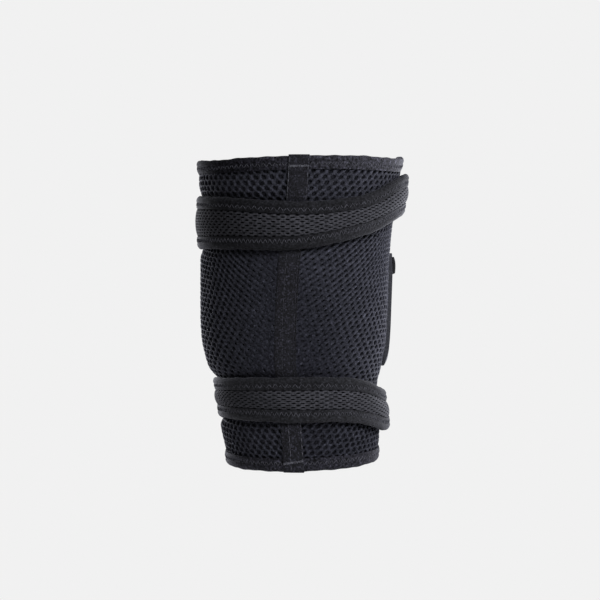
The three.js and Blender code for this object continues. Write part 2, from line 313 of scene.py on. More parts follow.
STRAP_KNIT = Finish(
    "strap_knit", "strap_binding", (0.0109, 0.0109, 0.0126), Weave.KNIT, grain=0.0013, relief=0.0003,
    flecks=0.75, lint=0.8, lint_from=0.61,
)
HOOK_BACK = Finish(
    "hook_back", "hook_tab", (0.006, 0.006, 0.0065), Weave.FLEECE, grain=0.0010, relief=0.0002, roughness=0.7
)
PAD_KNIT = Finish(
    "pad_knit", "side_pad", (0.044, 0.045, 0.051), Weave.KNIT, grain=0.0010, relief=0.0002, flecks=0.3
)
SEAM_THREAD = thread_finish("seam_thread", "strap_binding", (0.062, 0.062, 0.071))
EDGE_THREAD = thread_finish("edge_thread", "seam_tape", (0.085, 0.085, 0.097))
FAINT_THREAD = thread_finish("faint_thread", "seam_tape", (0.034, 0.034, 0.041))
# A dark, thread-shaped line that paints the shadow in the gap by the tape's right edge
GAP_SHADOW_LINE = thread_finish("gap_shadow_line", "seam_tape", (0.0025, 0.0025, 0.0032))
TACK_THREAD = thread_finish("tack_thread", "seam_tape", (0.090, 0.090, 0.102))


def polar_place(angle: Array, radius: Array, height: Array) -> Array:
    """Points from angles round the sleeve, distances from its axis and heights."""
    return np.stack([radius * np.sin(angle), -radius * np.cos(angle), height], axis=-1)


def angle_of(points: Array) -> Array:
    """Angles of points round the sleeve."""
    return np.arctan2(points[..., 0], -points[..., 1])


def radius_of(points: Array) -> Array:
    """Distances of points from the sleeve's axis."""
    return np.hypot(points[..., 0], points[..., 1])


def sided(angle: Array, values: Sides) -> Array:
    """A value that differs on the left of the back, in its middle and on its right."""
    return np.interp(np.sin(angle), (-SIDE_REACH, 0.0, SIDE_REACH), values)


def bell(off: Array, reach: Array | float) -> Array:
    """1 where off is 0, and less over a reach."""
    return np.exp(-((off / reach) ** 2))


def round_angles() -> Array:
    """Even angles round the sleeve."""
    return np.linspace(0, FULL_TURN, ROUND_STEPS + 1)[:-1]


def blurred(rows: Array, times: int) -> Array:
    """Rows of values, each mixed with its neighbours.

    Args:
        rows: The values, by row.
        times: How many times they are mixed.

    Returns:
        The mixed values.
    """
    for _ in range(times):
        padded = np.pad(rows, ((1, 1), (0, 0)), mode="edge")
        rows = (padded[:-2] + 2 * padded[1:-1] + padded[2:]) / 4
    return rows


def unit(vectors: Array) -> Array:
    """Vectors brought to length 1."""
    return vectors / np.linalg.norm(vectors, axis=-1, keepdims=True)


def node_tree(node: str) -> BVHTree:
    """A CAD node's faces, ready for rays."""
    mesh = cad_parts[node].data
    return BVHTree.FromPolygons([v.co for v in mesh.vertices], [p.vertices for p in mesh.polygons])


def welded(node: str) -> tuple[Array, Array]:
    """A CAD node's corners, each once.

    Args:
        node: The node's name.

    Returns:
        The points, and the triangles that join them.
    """
    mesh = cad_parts[node].data
    loose = np.empty(len(mesh.vertices) * 3)
    mesh.vertices.foreach_get("co", loose)
    corners = np.empty(len(mesh.loops), int)
    mesh.loops.foreach_get("vertex_index", corners)
    loose = loose.reshape(-1, 3)
    _, first, index = np.unique(np.round(loose / WELD), axis=0, return_index=True, return_inverse=True)
    return loose[first], index.ravel()[corners].reshape(-1, 3)


def unwrapped(points: Array, triangles: Array) -> Array:
    """Angles of a strip's points that keep growing where the strip passes over its own start.

    Args:
        points: The strip's points.
        triangles: What joins them.

    Returns:
        An angle for each point, with the strip's middle nearest to the back.
    """
    plain = angle_of(points)
    joined: list[set[int]] = [set() for _ in points]
    for corner in triangles:
        for one in corner:
            joined[one].update(int(other) for other in corner)
    turned = np.full(len(points), np.nan)
    turned[0] = plain[0]
    waiting = [0]
    while waiting:
        here = waiting.pop()
        for there in joined[here]:
            if np.isnan(turned[there]):
                step = plain[there] - plain[here]
                turned[there] = turned[here] + math.remainder(step, FULL_TURN)
                waiting.append(there)
    middle = (turned.min() + turned.max()) / 2
    return turned - FULL_TURN * round(middle / FULL_TURN)


def through_rows(rows: Array, at: Array, ring: bool) -> Array:
    """Smooth curve through rows of values.

    Args:
        rows: Values, a row to each whole place.
        at: Places to read, counted in rows.
        ring: Whether the last row is followed by the first.

    Returns:
        The values at those places.
    """
    count = len(rows)
    start = np.floor(at).astype(int) if ring else np.clip(np.floor(at).astype(int), 0, count - 2)
    share = (at - start).reshape(-1, *[1] * (rows.ndim - 1))
    around = [start + step for step in (-1, 0, 1, 2)]
    if ring:
        before, here, after, beyond = (rows[index % count] for index in around)
    else:
        before, here, after, beyond = (rows[np.clip(index, 0, count - 1)] for index in around)
    slope_here = (after - before) / 2
    slope_after = (beyond - here) / 2
    rise = after - here
    curve = (slope_here + slope_after - 2 * rise) * share + (3 * rise - 2 * slope_here - slope_after)
    return ((curve * share) + slope_here) * share + here


def deselect() -> None:
    """Leaves object mode with nothing selected."""
    if bpy.context.object and bpy.context.object.mode != "OBJECT":
        bpy.ops.object.mode_set(mode="OBJECT")
    bpy.ops.object.select_all(action="DESELECT")


def loft(name: str, sections: Array, ring: bool, pits: Array | None = None) -> Piece:
    """Cloth grid drawn through closed sections.

    Args:
        name: Name of the piece.
        sections: Points, by section and then round each section, without the closing point.
        ring: Whether the last section joins the first.
        pits: Painted shade at each point, from 0 to 1, kept on the mesh for its material.

    Returns:
        The piece.
    """
    closed = np.concatenate([sections, sections[:, :1]], axis=1)
    depths = np.zeros(sections.shape[:2]) if pits is None else pits
    depths = np.concatenate([depths, depths[:, :1]], axis=1)
    if ring:
        closed = np.concatenate([closed, closed[:1]])
        depths = np.concatenate([depths, depths[:1]])
    columns, points = closed.shape[:2]
    deselect()
    bpy.ops.mesh.primitive_grid_add(x_subdivisions=columns - 1, y_subdivisions=points - 1, size=1.0)
    piece = bpy.context.object
    piece.name = piece.data.name = name
    mesh = piece.data
    mesh.vertices.foreach_set("co", closed.transpose(1, 0, 2).ravel())
    painted_shade = mesh.attributes.new("painted_shade", "FLOAT", "POINT")
    painted_shade.data.foreach_set("value", depths.T.ravel())
    bpy.ops.object.mode_set(mode="EDIT")
    bpy.ops.mesh.select_all(action="SELECT")
    bpy.ops.mesh.remove_doubles(threshold=WELD)
    if not ring:
        bpy.ops.mesh.fill_holes(sides=0)
    bpy.ops.mesh.select_all(action="SELECT")
    bpy.ops.mesh.normals_make_consistent(inside=False)
    bpy.ops.object.mode_set(mode="OBJECT")
    bpy.ops.object.shade_smooth_by_angle(angle=math.radians(60))
    return piece


def mesh_piece(
    name: str, points: Array, faces: Sequence[Sequence[int]], pits: Array | None = None
) -> Piece:
    """A piece joined from many small shapes.

    Args:
        name: Name of the piece.
        points: Its points.
        faces: Point numbers of each face.
        pits: Painted shade at each point, from 0 to 1, deepest down in holes.

    Returns:
        The piece, smooth all over.
    """
    mesh = bpy.data.meshes.new(name)
    mesh.from_pydata(points.tolist(), [], faces)
    mesh.shade_smooth()
    if pits is not None:
        mesh.attributes.new("painted_shade", "FLOAT", "POINT").data.foreach_set("value", pits)
    piece = bpy.data.objects.new(name, mesh)
    bpy.context.scene.collection.objects.link(piece)
    return piece


def stitches(name: str, runs: Array, outward: Array, radius: float, uneven: float = 0.0) -> Piece:
    """Short lengths of thread, each bowed over the cloth with its ends drawn in.

    Args:
        name: Name of the piece.
        runs: Points along each stitch, by stitch.
        outward: Directions out of the cloth at those points.
        radius: Half the thread's thickness.
        uneven: How far stitches differ: 0 for none, 1 where some sink into the cloth.

    Returns:
        The piece.
    """
    end_swell, bow, bedded = 0.15, 1.1, 0.35
    sinking, straying = (-0.2, 1.6), 0.8
    sides = THREAD_SIDES
    count, steps = runs.shape[:2]
    chance = np.random.default_rng(count)
    share = np.linspace(0, 1, steps)
    swell = np.sqrt(np.clip(1 - (2 * share - 1) ** 4, end_swell, 1))
    sink = uneven * chance.uniform(*sinking, count) ** 2
    lift = radius * (bow * np.sin(np.pi * share) - bedded - sink[:, None])
    shift = uneven * radius * chance.normal(0, straying, (count, 1, 3))
    forward = unit(np.gradient(runs, axis=1))
    side = unit(np.cross(forward, outward))
    up = np.cross(side, forward)
    turn = np.arange(sides) * FULL_TURN / sides
    middle = runs + shift + outward * lift[:, :, None]
    spoke = side[:, :, None] * np.cos(turn)[:, None] + up[:, :, None] * np.sin(turn)[:, None]
    points = middle[:, :, None] + spoke * (radius * swell)[None, :, None, None]
    faces: list[list[int]] = []
    ring = np.arange(sides)
    for stitch in range(count):
        base = stitch * steps * sides
        for step in range(steps - 1):
            low = base + step * sides + ring
            high = low + sides
            faces += np.stack([low, np.roll(low, -1), np.roll(high, -1), high], axis=-1).tolist()
        faces.append((base + ring[::-1]).tolist())
        faces.append((base + (steps - 1) * sides + ring).tolist())
    return mesh_piece(name, points.reshape(-1, 3), faces)


def dress(piece: Piece, finish: Finish, *nodes: str) -> Piece:
    """Gives a piece its finish and its place on the part.

    Args:
        piece: The piece.
        finish: Its finish.
        *nodes: CAD nodes that it stands for.

    Returns:
        The piece.
    """
    piece.data.materials.clear()
    piece.data.materials.append(finish.material())
    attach(piece, BODY)
    if nodes:
        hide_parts(*nodes)
    LOG.info("%s: %d faces", piece.name, len(piece.data.polygons))
    return piece


@dataclass
class RoundField:
    """A distance from the sleeve's axis, kept on a grid of angles and heights.

    Attributes:
        values: Distances, by height and then by angle.
        low: Height of the first row.
        high: Height of the last row.
    """

    values: Array
    low: float
    high: float

    def __call__(self, angle: Array, height: Array) -> Array:
        """Reads the distance, straight between the grid's places.

        Args:
            angle: Angles round the sleeve.
            height: Heights.

        Returns:
            The distance at each place.
        """
        rows, columns = self.values.shape
        across = np.mod(angle, FULL_TURN) / FULL_TURN * columns
        up = np.clip((height - self.low) / (self.high - self.low) * (rows - 1), 0, rows - 1 - ROW_MARGIN)
        left = np.floor(across).astype(int)
        under = np.floor(up).astype(int)
        right_share = across - left
        over_share = up - under
        left = left % columns
        right = (left + 1) % columns
        lower, upper = (
            self.values[row, left] * (1 - right_share) + self.values[row, right] * right_share
            for row in (under, under + 1)
        )
        return lower * (1 - over_share) + upper * over_share


@dataclass
class SleeveForm:
    """The worn sleeve's two faces, read by rays and smoothed over the facets.

    Attributes:
        node: The CAD node.
        columns: Rays round the sleeve.
        rows: Rays up the sleeve.
        facet_blur: Angle over which facets are smoothed.
        row_blur: How many times rows are mixed with their neighbours.
        rim_step: Angle between the places at which a rim is read.
        outer: Distances of the outer face from the axis.
        inner: Distances of the inner face from it.
    """

    node: str = "sleeve"
    columns: int = 144
    rows: int = 110
    facet_blur: float = math.radians(4.0)
    row_blur: int = 1
    rim_step: float = math.radians(10)
    outer: RoundField = field(init=False)
    inner: RoundField = field(init=False)

    def __post_init__(self) -> None:
        """Reads both faces."""
        low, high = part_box(self.node)
        self.low, self.high = low.z, high.z
        tree = node_tree(self.node)
        outside = np.full((self.rows, self.columns), np.nan)
        inside = outside.copy()
        for row, height in enumerate(np.linspace(low.z, high.z, self.rows)):
            for column in range(self.columns):
                turn = column * FULL_TURN / self.columns
                out = Vector((math.sin(turn), -math.cos(turn), 0.0))
                axis = Vector((0.0, 0.0, height))
                hit = tree.ray_cast(axis + out * FAR_OUT, -out)
                if hit[0] and hit[3] < FAR_OUT:
                    outside[row, column] = FAR_OUT - hit[3]
                    inside[row, column] = tree.ray_cast(axis, out)[3]
        self.outer = RoundField(self._smoothed(outside), low.z, high.z)
        self.inner = RoundField(self._smoothed(inside), low.z, high.z)
        rims, _ = welded(self.node)
        self.top = self._rim(rims, highest=True)
        self.bottom = self._rim(rims, highest=False)

    def _smoothed(self, values: Array) -> Array:
        """Fills what rays missed at the tilted rims, and smooths facets away.

        Args:
            values: Distances that rays found, by height and angle; not a number where they missed.

        Returns:
            The smooth distances.
        """
        for column in values.T:
            known = np.flatnonzero(~np.isnan(column))
            column[:] = np.interp(np.arange(len(column)), known, column[known])
        waves = np.fft.rfft(values, axis=1)
        waves *= np.exp(-0.5 * (np.arange(waves.shape[1]) * self.facet_blur) ** 2)
        return blurred(np.fft.irfft(waves, n=self.columns, axis=1), self.row_blur)

    def _rim(self, points: Array, highest: bool) -> Array:
        """Lays a plane through a rim.

        Args:
            points: The sleeve's corners.
            highest: Whether it is the top rim.

        Returns:
            Its height on the axis, and its rise to +X and to the front.
        """
        bins = np.round(angle_of(points) / self.rim_step).astype(int)
        ends = []
        for number in np.unique(bins):
            members = points[bins == number]
            ends.append(members[members[:, 2].argmax() if highest else members[:, 2].argmin()])
        ends = np.array(ends)
        table = np.column_stack([np.ones(len(ends)), ends[:, 0], ends[:, 1]])
        return np.linalg.lstsq(table, ends[:, 2], rcond=None)[0]

    def rim_height(self, plane: Array, angle: Array) -> Array:
        """Height of a rim at angles."""
        radius = self.outer(angle, np.full_like(angle, plane[0]))
        return plane[0] + plane[1] * radius * np.sin(angle) - plane[2] * radius * np.cos(angle)

    def girth(self, height: float) -> float:
        """Length round the outside at a height."""
        around = round_angles()
        return FULL_TURN * float(self.outer(around, np.full_like(around, height)).mean())

    def skin(self, angle: Array, height: Array, lift: Array | float) -> Array:
        """Points on the sleeve's outside, moved out by lift."""
        return polar_place(angle, self.outer(angle, height) + lift, height)


@dataclass
class FoldRail:
    """The faces of a folded binding, read from the columns of facets of its CAD node.

    Attributes:
        node: The CAD node.
        opens_up: Whether the fold is at the bottom.
        ring: Whether the binding goes round without ends.
        corners: Corners of the node's section.
        half_step: Half the angle between the columns of a ring.
        fine_steps: Steps to a column when lengths are measured.
    """

    node: str
    opens_up: bool
    ring: bool
    corners: int = 10
    half_step: float = math.radians(5)
    fine_steps: int = 40

    def __post_init__(self) -> None:
        """Sorts the node's corners into columns and keeps those of both faces."""
        points, triangles = welded(self.node)
        if self.ring:
            turned = np.mod(angle_of(points) + self.half_step, FULL_TURN)
        else:
            turned = unwrapped(points, triangles)
        columns = points[np.argsort(turned)].reshape(-1, self.corners, 3)
        order = np.argsort(columns[:, :, 2] * (1 if self.opens_up else -1), axis=1)
        columns = np.take_along_axis(columns, order[:, :, None], axis=1)
        edge, bend, leg = columns[:, :2], columns[:, 2:6], columns[:, 6:]
        self.edge = edge[:, :, 2].mean(axis=1)
        self.bend_height = float(np.abs(self._end(bend, outer=True)[:, 2] - self.edge).mean())
        self.leg_height = float(np.abs(leg[:, 0, 2] - self.edge).mean())
        self.faces = np.stack(
            [self._end(level, outer) for outer in (False, True) for level in (bend, leg)], axis=1
        ).reshape(-1, 2, 2, 3)
        self.depth = float(np.linalg.norm(self.faces[:, 1, 1] - self.faces[:, 0, 1], axis=-1).mean())
        self.count = len(columns)

    @staticmethod
    def _end(level: Array, outer: bool) -> Array:
        """Picks a point of a level in each column.

        Args:
            level: The level's points, by column.
            outer: Whether it is the outermost, or the innermost.

        Returns:
            The points.
        """
        reach = radius_of(level)
        pick = reach.argmax(axis=1) if outer else reach.argmin(axis=1)
        return np.take_along_axis(level, pick[:, None, None], axis=1)[:, 0]

    def places(self, step: float) -> Array:
        """Places along the binding about a step apart, counted in columns.

        Args:
            step: Length of a step.

        Returns:
            Places at even lengths, with both ends of a strip.
        """
        fine = np.linspace(0, self.count if self.ring else self.count - 1, self.fine_steps * self.count)
        line = through_rows(self.faces[:, 1].mean(axis=1), fine, self.ring)
        length = np.concatenate([[0], np.linalg.norm(np.diff(line, axis=0), axis=-1).cumsum()])
        count = max(2, round(length[-1] / step))
        even = np.linspace(0, length[-1], count + 1)
        self.length = float(length[-1])
        return np.interp(even[:-1] if self.ring else even, length, fine)

    def faces_at(self, at: Array) -> Array:
        """Both faces' points at the bend and the leg's end, at places along the binding."""
        return through_rows(self.faces, at, self.ring)

    def point(self, at: Array, height: Array, depth: Array) -> Array:
        """Points of the binding.

        Args:
            at: Places along it, counted in columns.
            height: Heights in from the folded edge, for each place or for all.
            depth: Depths out from the inner face, likewise.

        Returns:
            A point for each place and each height.
        """
        faces = self.faces_at(at)[:, :, :, None]
        share = ((height - self.bend_height) / (self.leg_height - self.bend_height))[..., None]
        inner = faces[:, 0, 0] + (faces[:, 0, 1] - faces[:, 0, 0]) * share
        outer = faces[:, 1, 0] + (faces[:, 1, 1] - faces[:, 1, 0]) * share
        return inner + (outer - inner) * (depth / self.depth)[..., None]


@dataclass
class FoldedBinding:
    """Knit binding folded over an edge and zigzag stitched.

    Attributes:
        name: Name of the piece.
        rail: Where it runs.
        finish: Its finish.
        tape: Thickness of the binding's cloth.
        stitch_low: Height of the zigzag's points nearest to the fold.
        stitch_high: Height of its other points.
        stitch_length: Length of one zigzag.
        thread: Half the thickness of the thread.
        uneven: How far stitches differ.
        dip: How far the stitching pulls the cloth in.
        thread_dip: Share of that by which the thread lies in.
        thinning: How much thinner the outer leg's free edge is.
        press: How far the fold is pressed in towards the sleeve.
        sway: Where the rim rises: angle, reach and height of each rise.
        shade: How much painted shade darkens it, from 0 to 1, on the back's left, middle and right.
        wavy: How far the fold strays up and down.
        waves: Lengths of the waves in which it does.
        step: Length of the facets along it.
    """

    name: str
    rail: FoldRail
    finish: Finish
    thinning: float = 0.0003
    press: float = 0.0
    sway: tuple[tuple[float, float, float], ...] = ()
    shade: Sides = (0.0, 0.0, 0.0)
    tape: float = 0.0010
    stitch_low: float = 0.0043
    stitch_high: float = 0.0072
    stitch_length: float = 0.0042
    thread: float = 0.00019
    uneven: float = 0.32
    dip: float = 0.0004
    thread_dip: float = 0.75
    wavy: float = 0.00022
    waves: tuple[float, ...] = (0.041, 0.023, 0.012)
    step: float = 0.0016

    def profile(self) -> tuple[Array, Array]:
        """The section, from the outer leg's end round the fold to the inner leg's end and back inside.

        Returns:
            Heights in from the fold, and depths out from the inner face.
        """
        leg, deep, tape = self.rail.leg_height, self.rail.depth, self.tape
        low, high, dip = self.stitch_low, self.stitch_high, self.dip
        thin = deep - self.thinning
        outside = [
            (leg, min(deep - tape, thin - 0.0001)),
            (leg + 0.0001, thin - 0.3 * (thin - deep + tape)),
            (leg - 0.0003, thin - 0.1 * (thin - deep + tape)),
            (high + 0.0007, deep - 0.1 * dip - 0.35 * self.thinning),
            (high + 0.0002, deep - 0.6 * dip),
            ((low + high) / 2, deep - dip),
            (low - 0.0002, deep - 0.6 * dip),
            (low - 0.0008, deep),
            (0.0026, deep + 0.0001),
            (0.0015, deep - 0.0002),
            (0.0007, deep - 0.0006),
            (0.0002, deep - 0.0012),
            (0.0, deep - 0.0018),
        ]
        inside = [
            (0.0001, 0.0013),
            (0.0005, 0.0006),
            (0.0013, 0.0001),
            (leg - 0.0003, 0.0),
            (leg, 0.4 * tape),
            (leg, tape),
            (tape, tape),
            (tape, deep - tape),
        ]
        section = np.array(outside + inside)
        return section[:, 0], section[:, 1] - self._pressed(section[:, 0])

    def _pressed(self, height: Array) -> Array:
        """How far the binding is pressed in at heights from its fold."""
        return self.press * np.clip(1 - height / self.rail.leg_height, 0, 1) ** 2

    def rise(self, angle: Array) -> Array:
        """How far the rim rises.

        Args:
            angle: Angles round the sleeve.

        Returns:
            The rise at each angle.
        """
        risen = np.zeros_like(angle)
        for middle, reach, lift in self.sway:
            away = np.mod(angle - middle + math.pi, FULL_TURN) - math.pi
            risen += lift * bell(away, reach)
        return risen

    def build(self, *nodes: str) -> Piece:
        """Makes the binding.

        Args:
            *nodes: CAD nodes that it stands for.

        Returns:
            The dressed piece.
        """
        heights, depths = self.profile()
        at = self.rail.places(self.step)
        chance = np.random.default_rng(len(at))
        counts = np.round(self.rail.length / np.array(self.waves))
        turns = np.linspace(0, FULL_TURN, len(at), endpoint=not self.rail.ring)[:, None]
        waves = np.sin(turns * counts + chance.uniform(0, FULL_TURN, len(counts)))
        stray = self.wavy * waves.mean(axis=1)[:, None]
        loose = np.clip(1 - heights / self.rail.leg_height, 0, 1)
        sections = self.rail.point(at, heights + 2 * stray * loose, depths + stray * loose)
        sections[..., 2] += self.rise(angle_of(sections))
        # Painted shade, different on the back's left, middle and right
        shades = sided(angle_of(sections), self.shade)
        return dress(loft(self.name, sections, self.rail.ring, shades), self.finish, *nodes)

    def stitch(self) -> Piece:
        """Makes the zigzag stitching.

        Returns:
            The dressed piece.
        """
        ends = self.rail.places(self.stitch_length / 2)
        if self.rail.ring:
            ends = np.append(ends[: len(ends) // 2 * 2], self.rail.count)
        share = np.linspace(0, 1, STITCH_POINTS)
        at = ends[:-1, None] + np.diff(ends)[:, None] * share
        climb = np.where(np.arange(len(at))[:, None] % 2 == 0, share, 1 - share)
        height = self.stitch_low + (self.stitch_high - self.stitch_low) * climb
        flat_at, flat_height = at.ravel(), height.ravel()
        depth = self.rail.depth - self.thread_dip * self.dip - self._pressed(flat_height)
        points = self.rail.point(flat_at, flat_height[:, None], depth[:, None])[:, 0]
        outward = unit(points - self.rail.point(flat_at, flat_height[:, None], 0 * depth[:, None])[:, 0])
        points[:, 2] += self.rise(angle_of(points))
        shape = (*at.shape, 3)
        runs, outs = points.reshape(shape), outward.reshape(shape)
        return dress(stitches(f"{self.name}_stitches", runs, outs, self.thread, self.uneven), SEAM_THREAD)


@dataclass
class WrapStrap:
    """Elastic strap: a mesh band between two folded bindings, closed by a tab on the front.

    Attributes:
        place: Name of the strap's place, upper or lower.
        shade: How much painted shade darkens the mesh, from 0 to 1, on the back's left, middle and right.
        top_shade: How much painted shade darkens the top binding, likewise.
        bottom_shade: How much painted shade darkens the bottom binding, likewise.
        press: How far the bindings' folds are pressed in towards the sleeve.
        top_stitch: Length of one zigzag on the top binding.
        top_uneven: How far stitches differ there.
        bottom_stitch: Length of one zigzag on the bottom binding.
        bottom_high: Height of its points furthest from the fold.
        hole_length: Length of one repeat of the mesh's lens holes.
        hole_rows: Rows of holes.
        hole_half_length: Half the length of a hole.
        hole_half_share: Half the height of a hole, as a share of its row.
        hole_depth: How deep the holes are.
        hole_uneven: How much holes differ in size.
        hole_beat: How quickly that changes along a row, and from row to row.
        hole_painted_shade: How far the painted shade in a hole spreads up its sides.
        crown: How far the mesh puffs out between the bindings.
        slack_angle: Where the mesh is slack.
        slack_reach: How far round the sleeve it is.
        slack_holes: How much closer together its holes are there.
        slack_puff: How much further it puffs out there.
        slack_twist: How far each row of holes slips past the next there, as a share of a repeat.
        slack_shade: How much painted shade darkens it there.
        tight_angle: Where the mesh is tight.
        tight_reach: How far round the sleeve it is.
        tight_holes: How much further apart its holes are there.
        level_angles: Where the rows of holes begin to stay level, are level, and follow the strap again.
        binding_shadow_share: Width of the painted shadow beside each binding, as a share of the mesh's width.
        core: Thickness of the mesh.
        tuck: Distance of the mesh's hidden edges from the bindings' folds.
        row_steps: Facets up one row of holes.
        steps_in_repeat: Facets along one repeat of the holes.
    """

    place: str
    shade: Sides
    top_shade: Sides
    bottom_shade: Sides
    press: float = 0.0008
    top_stitch: float = 0.0046
    top_uneven: float = 0.5
    bottom_stitch: float = 0.0033
    bottom_high: float = 0.0076
    hole_length: float = 0.0065
    hole_rows: int = 10
    hole_half_length: float = 0.0016
    hole_half_share: float = 0.32
    hole_depth: float = 0.0013
    hole_uneven: float = 0.12
    hole_beat: Pair = (9.1, 4.3)
    hole_painted_shade: float = 1.35
    crown: float = 0.0019
    slack_angle: float = math.radians(-85)
    slack_reach: float = math.radians(35)
    slack_holes: float = 0.8
    slack_puff: float = 0.0002
    slack_twist: float = 0.2
    slack_shade: float = 0.0
    tight_angle: float = math.radians(80)
    tight_reach: float = math.radians(30)
    tight_holes: float = 0.25
    level_angles: tuple[float, ...] = tuple(math.radians(turn) for turn in (5, 30, 100, 130))
    binding_shadow_share: float = 0.05
    core: float = 0.0016
    tuck: float = 0.0013
    row_steps: int = 6
    steps_in_repeat: int = 13

    def __post_init__(self) -> None:
        """Reads the strap's course from its two bindings."""
        self.top = FoldRail(f"{self.place}_strap_top_binding", opens_up=False, ring=False)
        self.bottom = FoldRail(f"{self.place}_strap_bottom_binding", opens_up=True, ring=False)

    def edges(self, angle: Array) -> tuple[Array, Array]:
        """Heights of the strap's edges.

        Args:
            angle: Angles round the sleeve.

        Returns:
            The heights of the lower and of the upper edge.
        """
        columns = angle_of(self.top.faces[:, 1, 1])
        order = np.argsort(columns)
        turned = np.mod(angle + math.pi, FULL_TURN) - math.pi
        low = np.interp(turned, columns[order], self.bottom.edge[order], period=FULL_TURN)
        high = np.interp(turned, columns[order], self.top.edge[order], period=FULL_TURN)
        return low, high

    def _band(self, at: Array, share: Array, depth: Array) -> Array:
        """Points between the two bindings' legs.

        Args:
            at: Places along the strap.
            share: Shares of the way up from the lower leg's end to the upper one's.
            depth: Depths out from the strap's inner face, by place and share.

        Returns:
            The points.
        """
        low = self.bottom.faces_at(at)[:, :, 1][:, :, None]
        high = self.top.faces_at(at)[:, :, 1][:, :, None]
        faces = low + (high - low) * share[None, None, :, None]
        return faces[:, 0] + (faces[:, 1] - faces[:, 0]) * (depth / self.top.depth)[..., None]

    def _climb(self, at: Array, turned: Array) -> Array:
        """Rows that the strap rises past where its rows of holes stay level.

        Args:
            at: Places along the strap.
            turned: Their angles round the sleeve.

        Returns:
            The rows passed so far at each place.
        """
        low, high = self.bottom.faces_at(at)[:, 1, 1], self.top.faces_at(at)[:, 1, 1]
        level = np.interp(turned, self.level_angles, (0, 1, 1, 0))
        row_height = np.linalg.norm(high - low, axis=1).mean() / self.hole_rows
        return np.cumsum(np.gradient((low + high)[:, 2] / 2) * level) / row_height

    def _slack(self, turned: Array) -> Array:
        """How slack the mesh is at angles, from 0 to 1."""
        return bell(turned - self.slack_angle, self.slack_reach)[:, None]

    def _pits(self, at: Array, share: Array, turned: Array) -> Array:
        """Depths of the lens holes.

        Args:
            at: Places along the strap.
            share: Shares of the way up the mesh.
            turned: Angles of the places round the sleeve.

        Returns:
            How far down in a hole each point is, from 0 to 1, by place and share.
        """
        slack = self._slack(turned)
        tight = bell(turned - self.tight_angle, self.tight_reach)[:, None]
        pace = 1 + self.slack_holes * slack - self.tight_holes * tight
        repeat = np.cumsum(pace, axis=0) / self.steps_in_repeat
        grid = share * self.hole_rows + self._climb(at, turned)[:, None]
        row = np.floor(grid)
        along_beat, row_beat = self.hole_beat
        uneven = 1 + self.hole_uneven * np.sin(repeat * along_beat + row * row_beat)
        off_row = (grid - row - 0.5) / self.hole_half_share
        off_middle = np.mod(repeat + row * (0.5 + self.slack_twist * slack), 1) - 0.5
        off_middle = off_middle * self.hole_length / self.hole_half_length
        pits = np.sqrt(np.clip(1 - (off_middle**2 + off_row**2) / uneven**2, 0, 1))
        return pits * np.clip(2 * self.hole_rows * np.minimum(share, 1 - share), 0, 1)

    def build_mesh(self) -> Piece:
        """Makes the mesh band with its holes.

        Returns:
            The dressed piece.
        """
        at = self.bottom.places(self.hole_length / self.steps_in_repeat)
        share = np.linspace(0, 1, self.hole_rows * self.row_steps + 1)
        turned = angle_of(self.bottom.faces_at(at)[:, 1, 1])
        slack, pits = self._slack(turned), self._pits(at, share, turned)
        inner = (self.top.depth - self.core) / 2
        outer = inner + self.core
        puff = (self.crown + self.slack_puff * slack) * np.sqrt(np.sin(np.pi * share).clip(0))
        outside = self._band(at, share, outer + puff - self.hole_depth * pits)
        flat = np.array([self.tuck, self.bottom.leg_height])
        front, back = np.full(1, outer), np.full(2, inner)
        outer_low, outer_high = (rail.point(at, flat[:1], front) for rail in (self.bottom, self.top))
        inner_low, inner_high = self.bottom.point(at, flat, back), self.top.point(at, flat[::-1], back)
        loop = [outer_low, outside, outer_high, inner_high[:, ::-1], inner_low[:, ::-1]]
        sections = np.concatenate(loop, axis=1)
        # Painted shade: dark in the holes, a painted shadow beside each binding, and painted shade to the
        # sides and where the mesh is slack
        binding_shadow = np.clip(1 - np.minimum(share, 1 - share) / self.binding_shadow_share, 0, 1)
        around = np.zeros(sections.shape[:2])
        around[:, 1 : 1 + len(share)] = np.maximum(np.clip(self.hole_painted_shade * pits, 0, 1), binding_shadow)
        around += (1 - around) * np.clip(sided(turned, self.shade)[:, None] + self.slack_shade * slack, 0, 1)
        piece = loft(f"{self.place}_strap_net", sections, ring=False, pits=around)
        return dress(piece, STRAP_NET, f"{self.place}_strap_mesh")

    def build(self) -> None:
        """Makes the whole strap."""
        net = self.build_mesh()
        trims = []
        name = f"{self.place}_strap"
        top = FoldedBinding(
            f"{name}_top_edge",
            self.top,
            STRAP_KNIT,
            press=self.press,
            shade=self.top_shade,
            stitch_length=self.top_stitch,
            uneven=self.top_uneven,
        )
        bottom = FoldedBinding(
            f"{name}_bottom_edge",
            self.bottom,
            STRAP_KNIT,
            press=self.press,
            shade=self.bottom_shade,
            stitch_length=self.bottom_stitch,
            stitch_high=self.bottom_high,
        )
        for binding in (top, bottom):
            trims += [binding.build(binding.rail.node), binding.stitch()]
        tab = SewnPatch(f"{self.place}_strap_hook", f"{self.place}_strap_tab", HOOK_BACK).build()


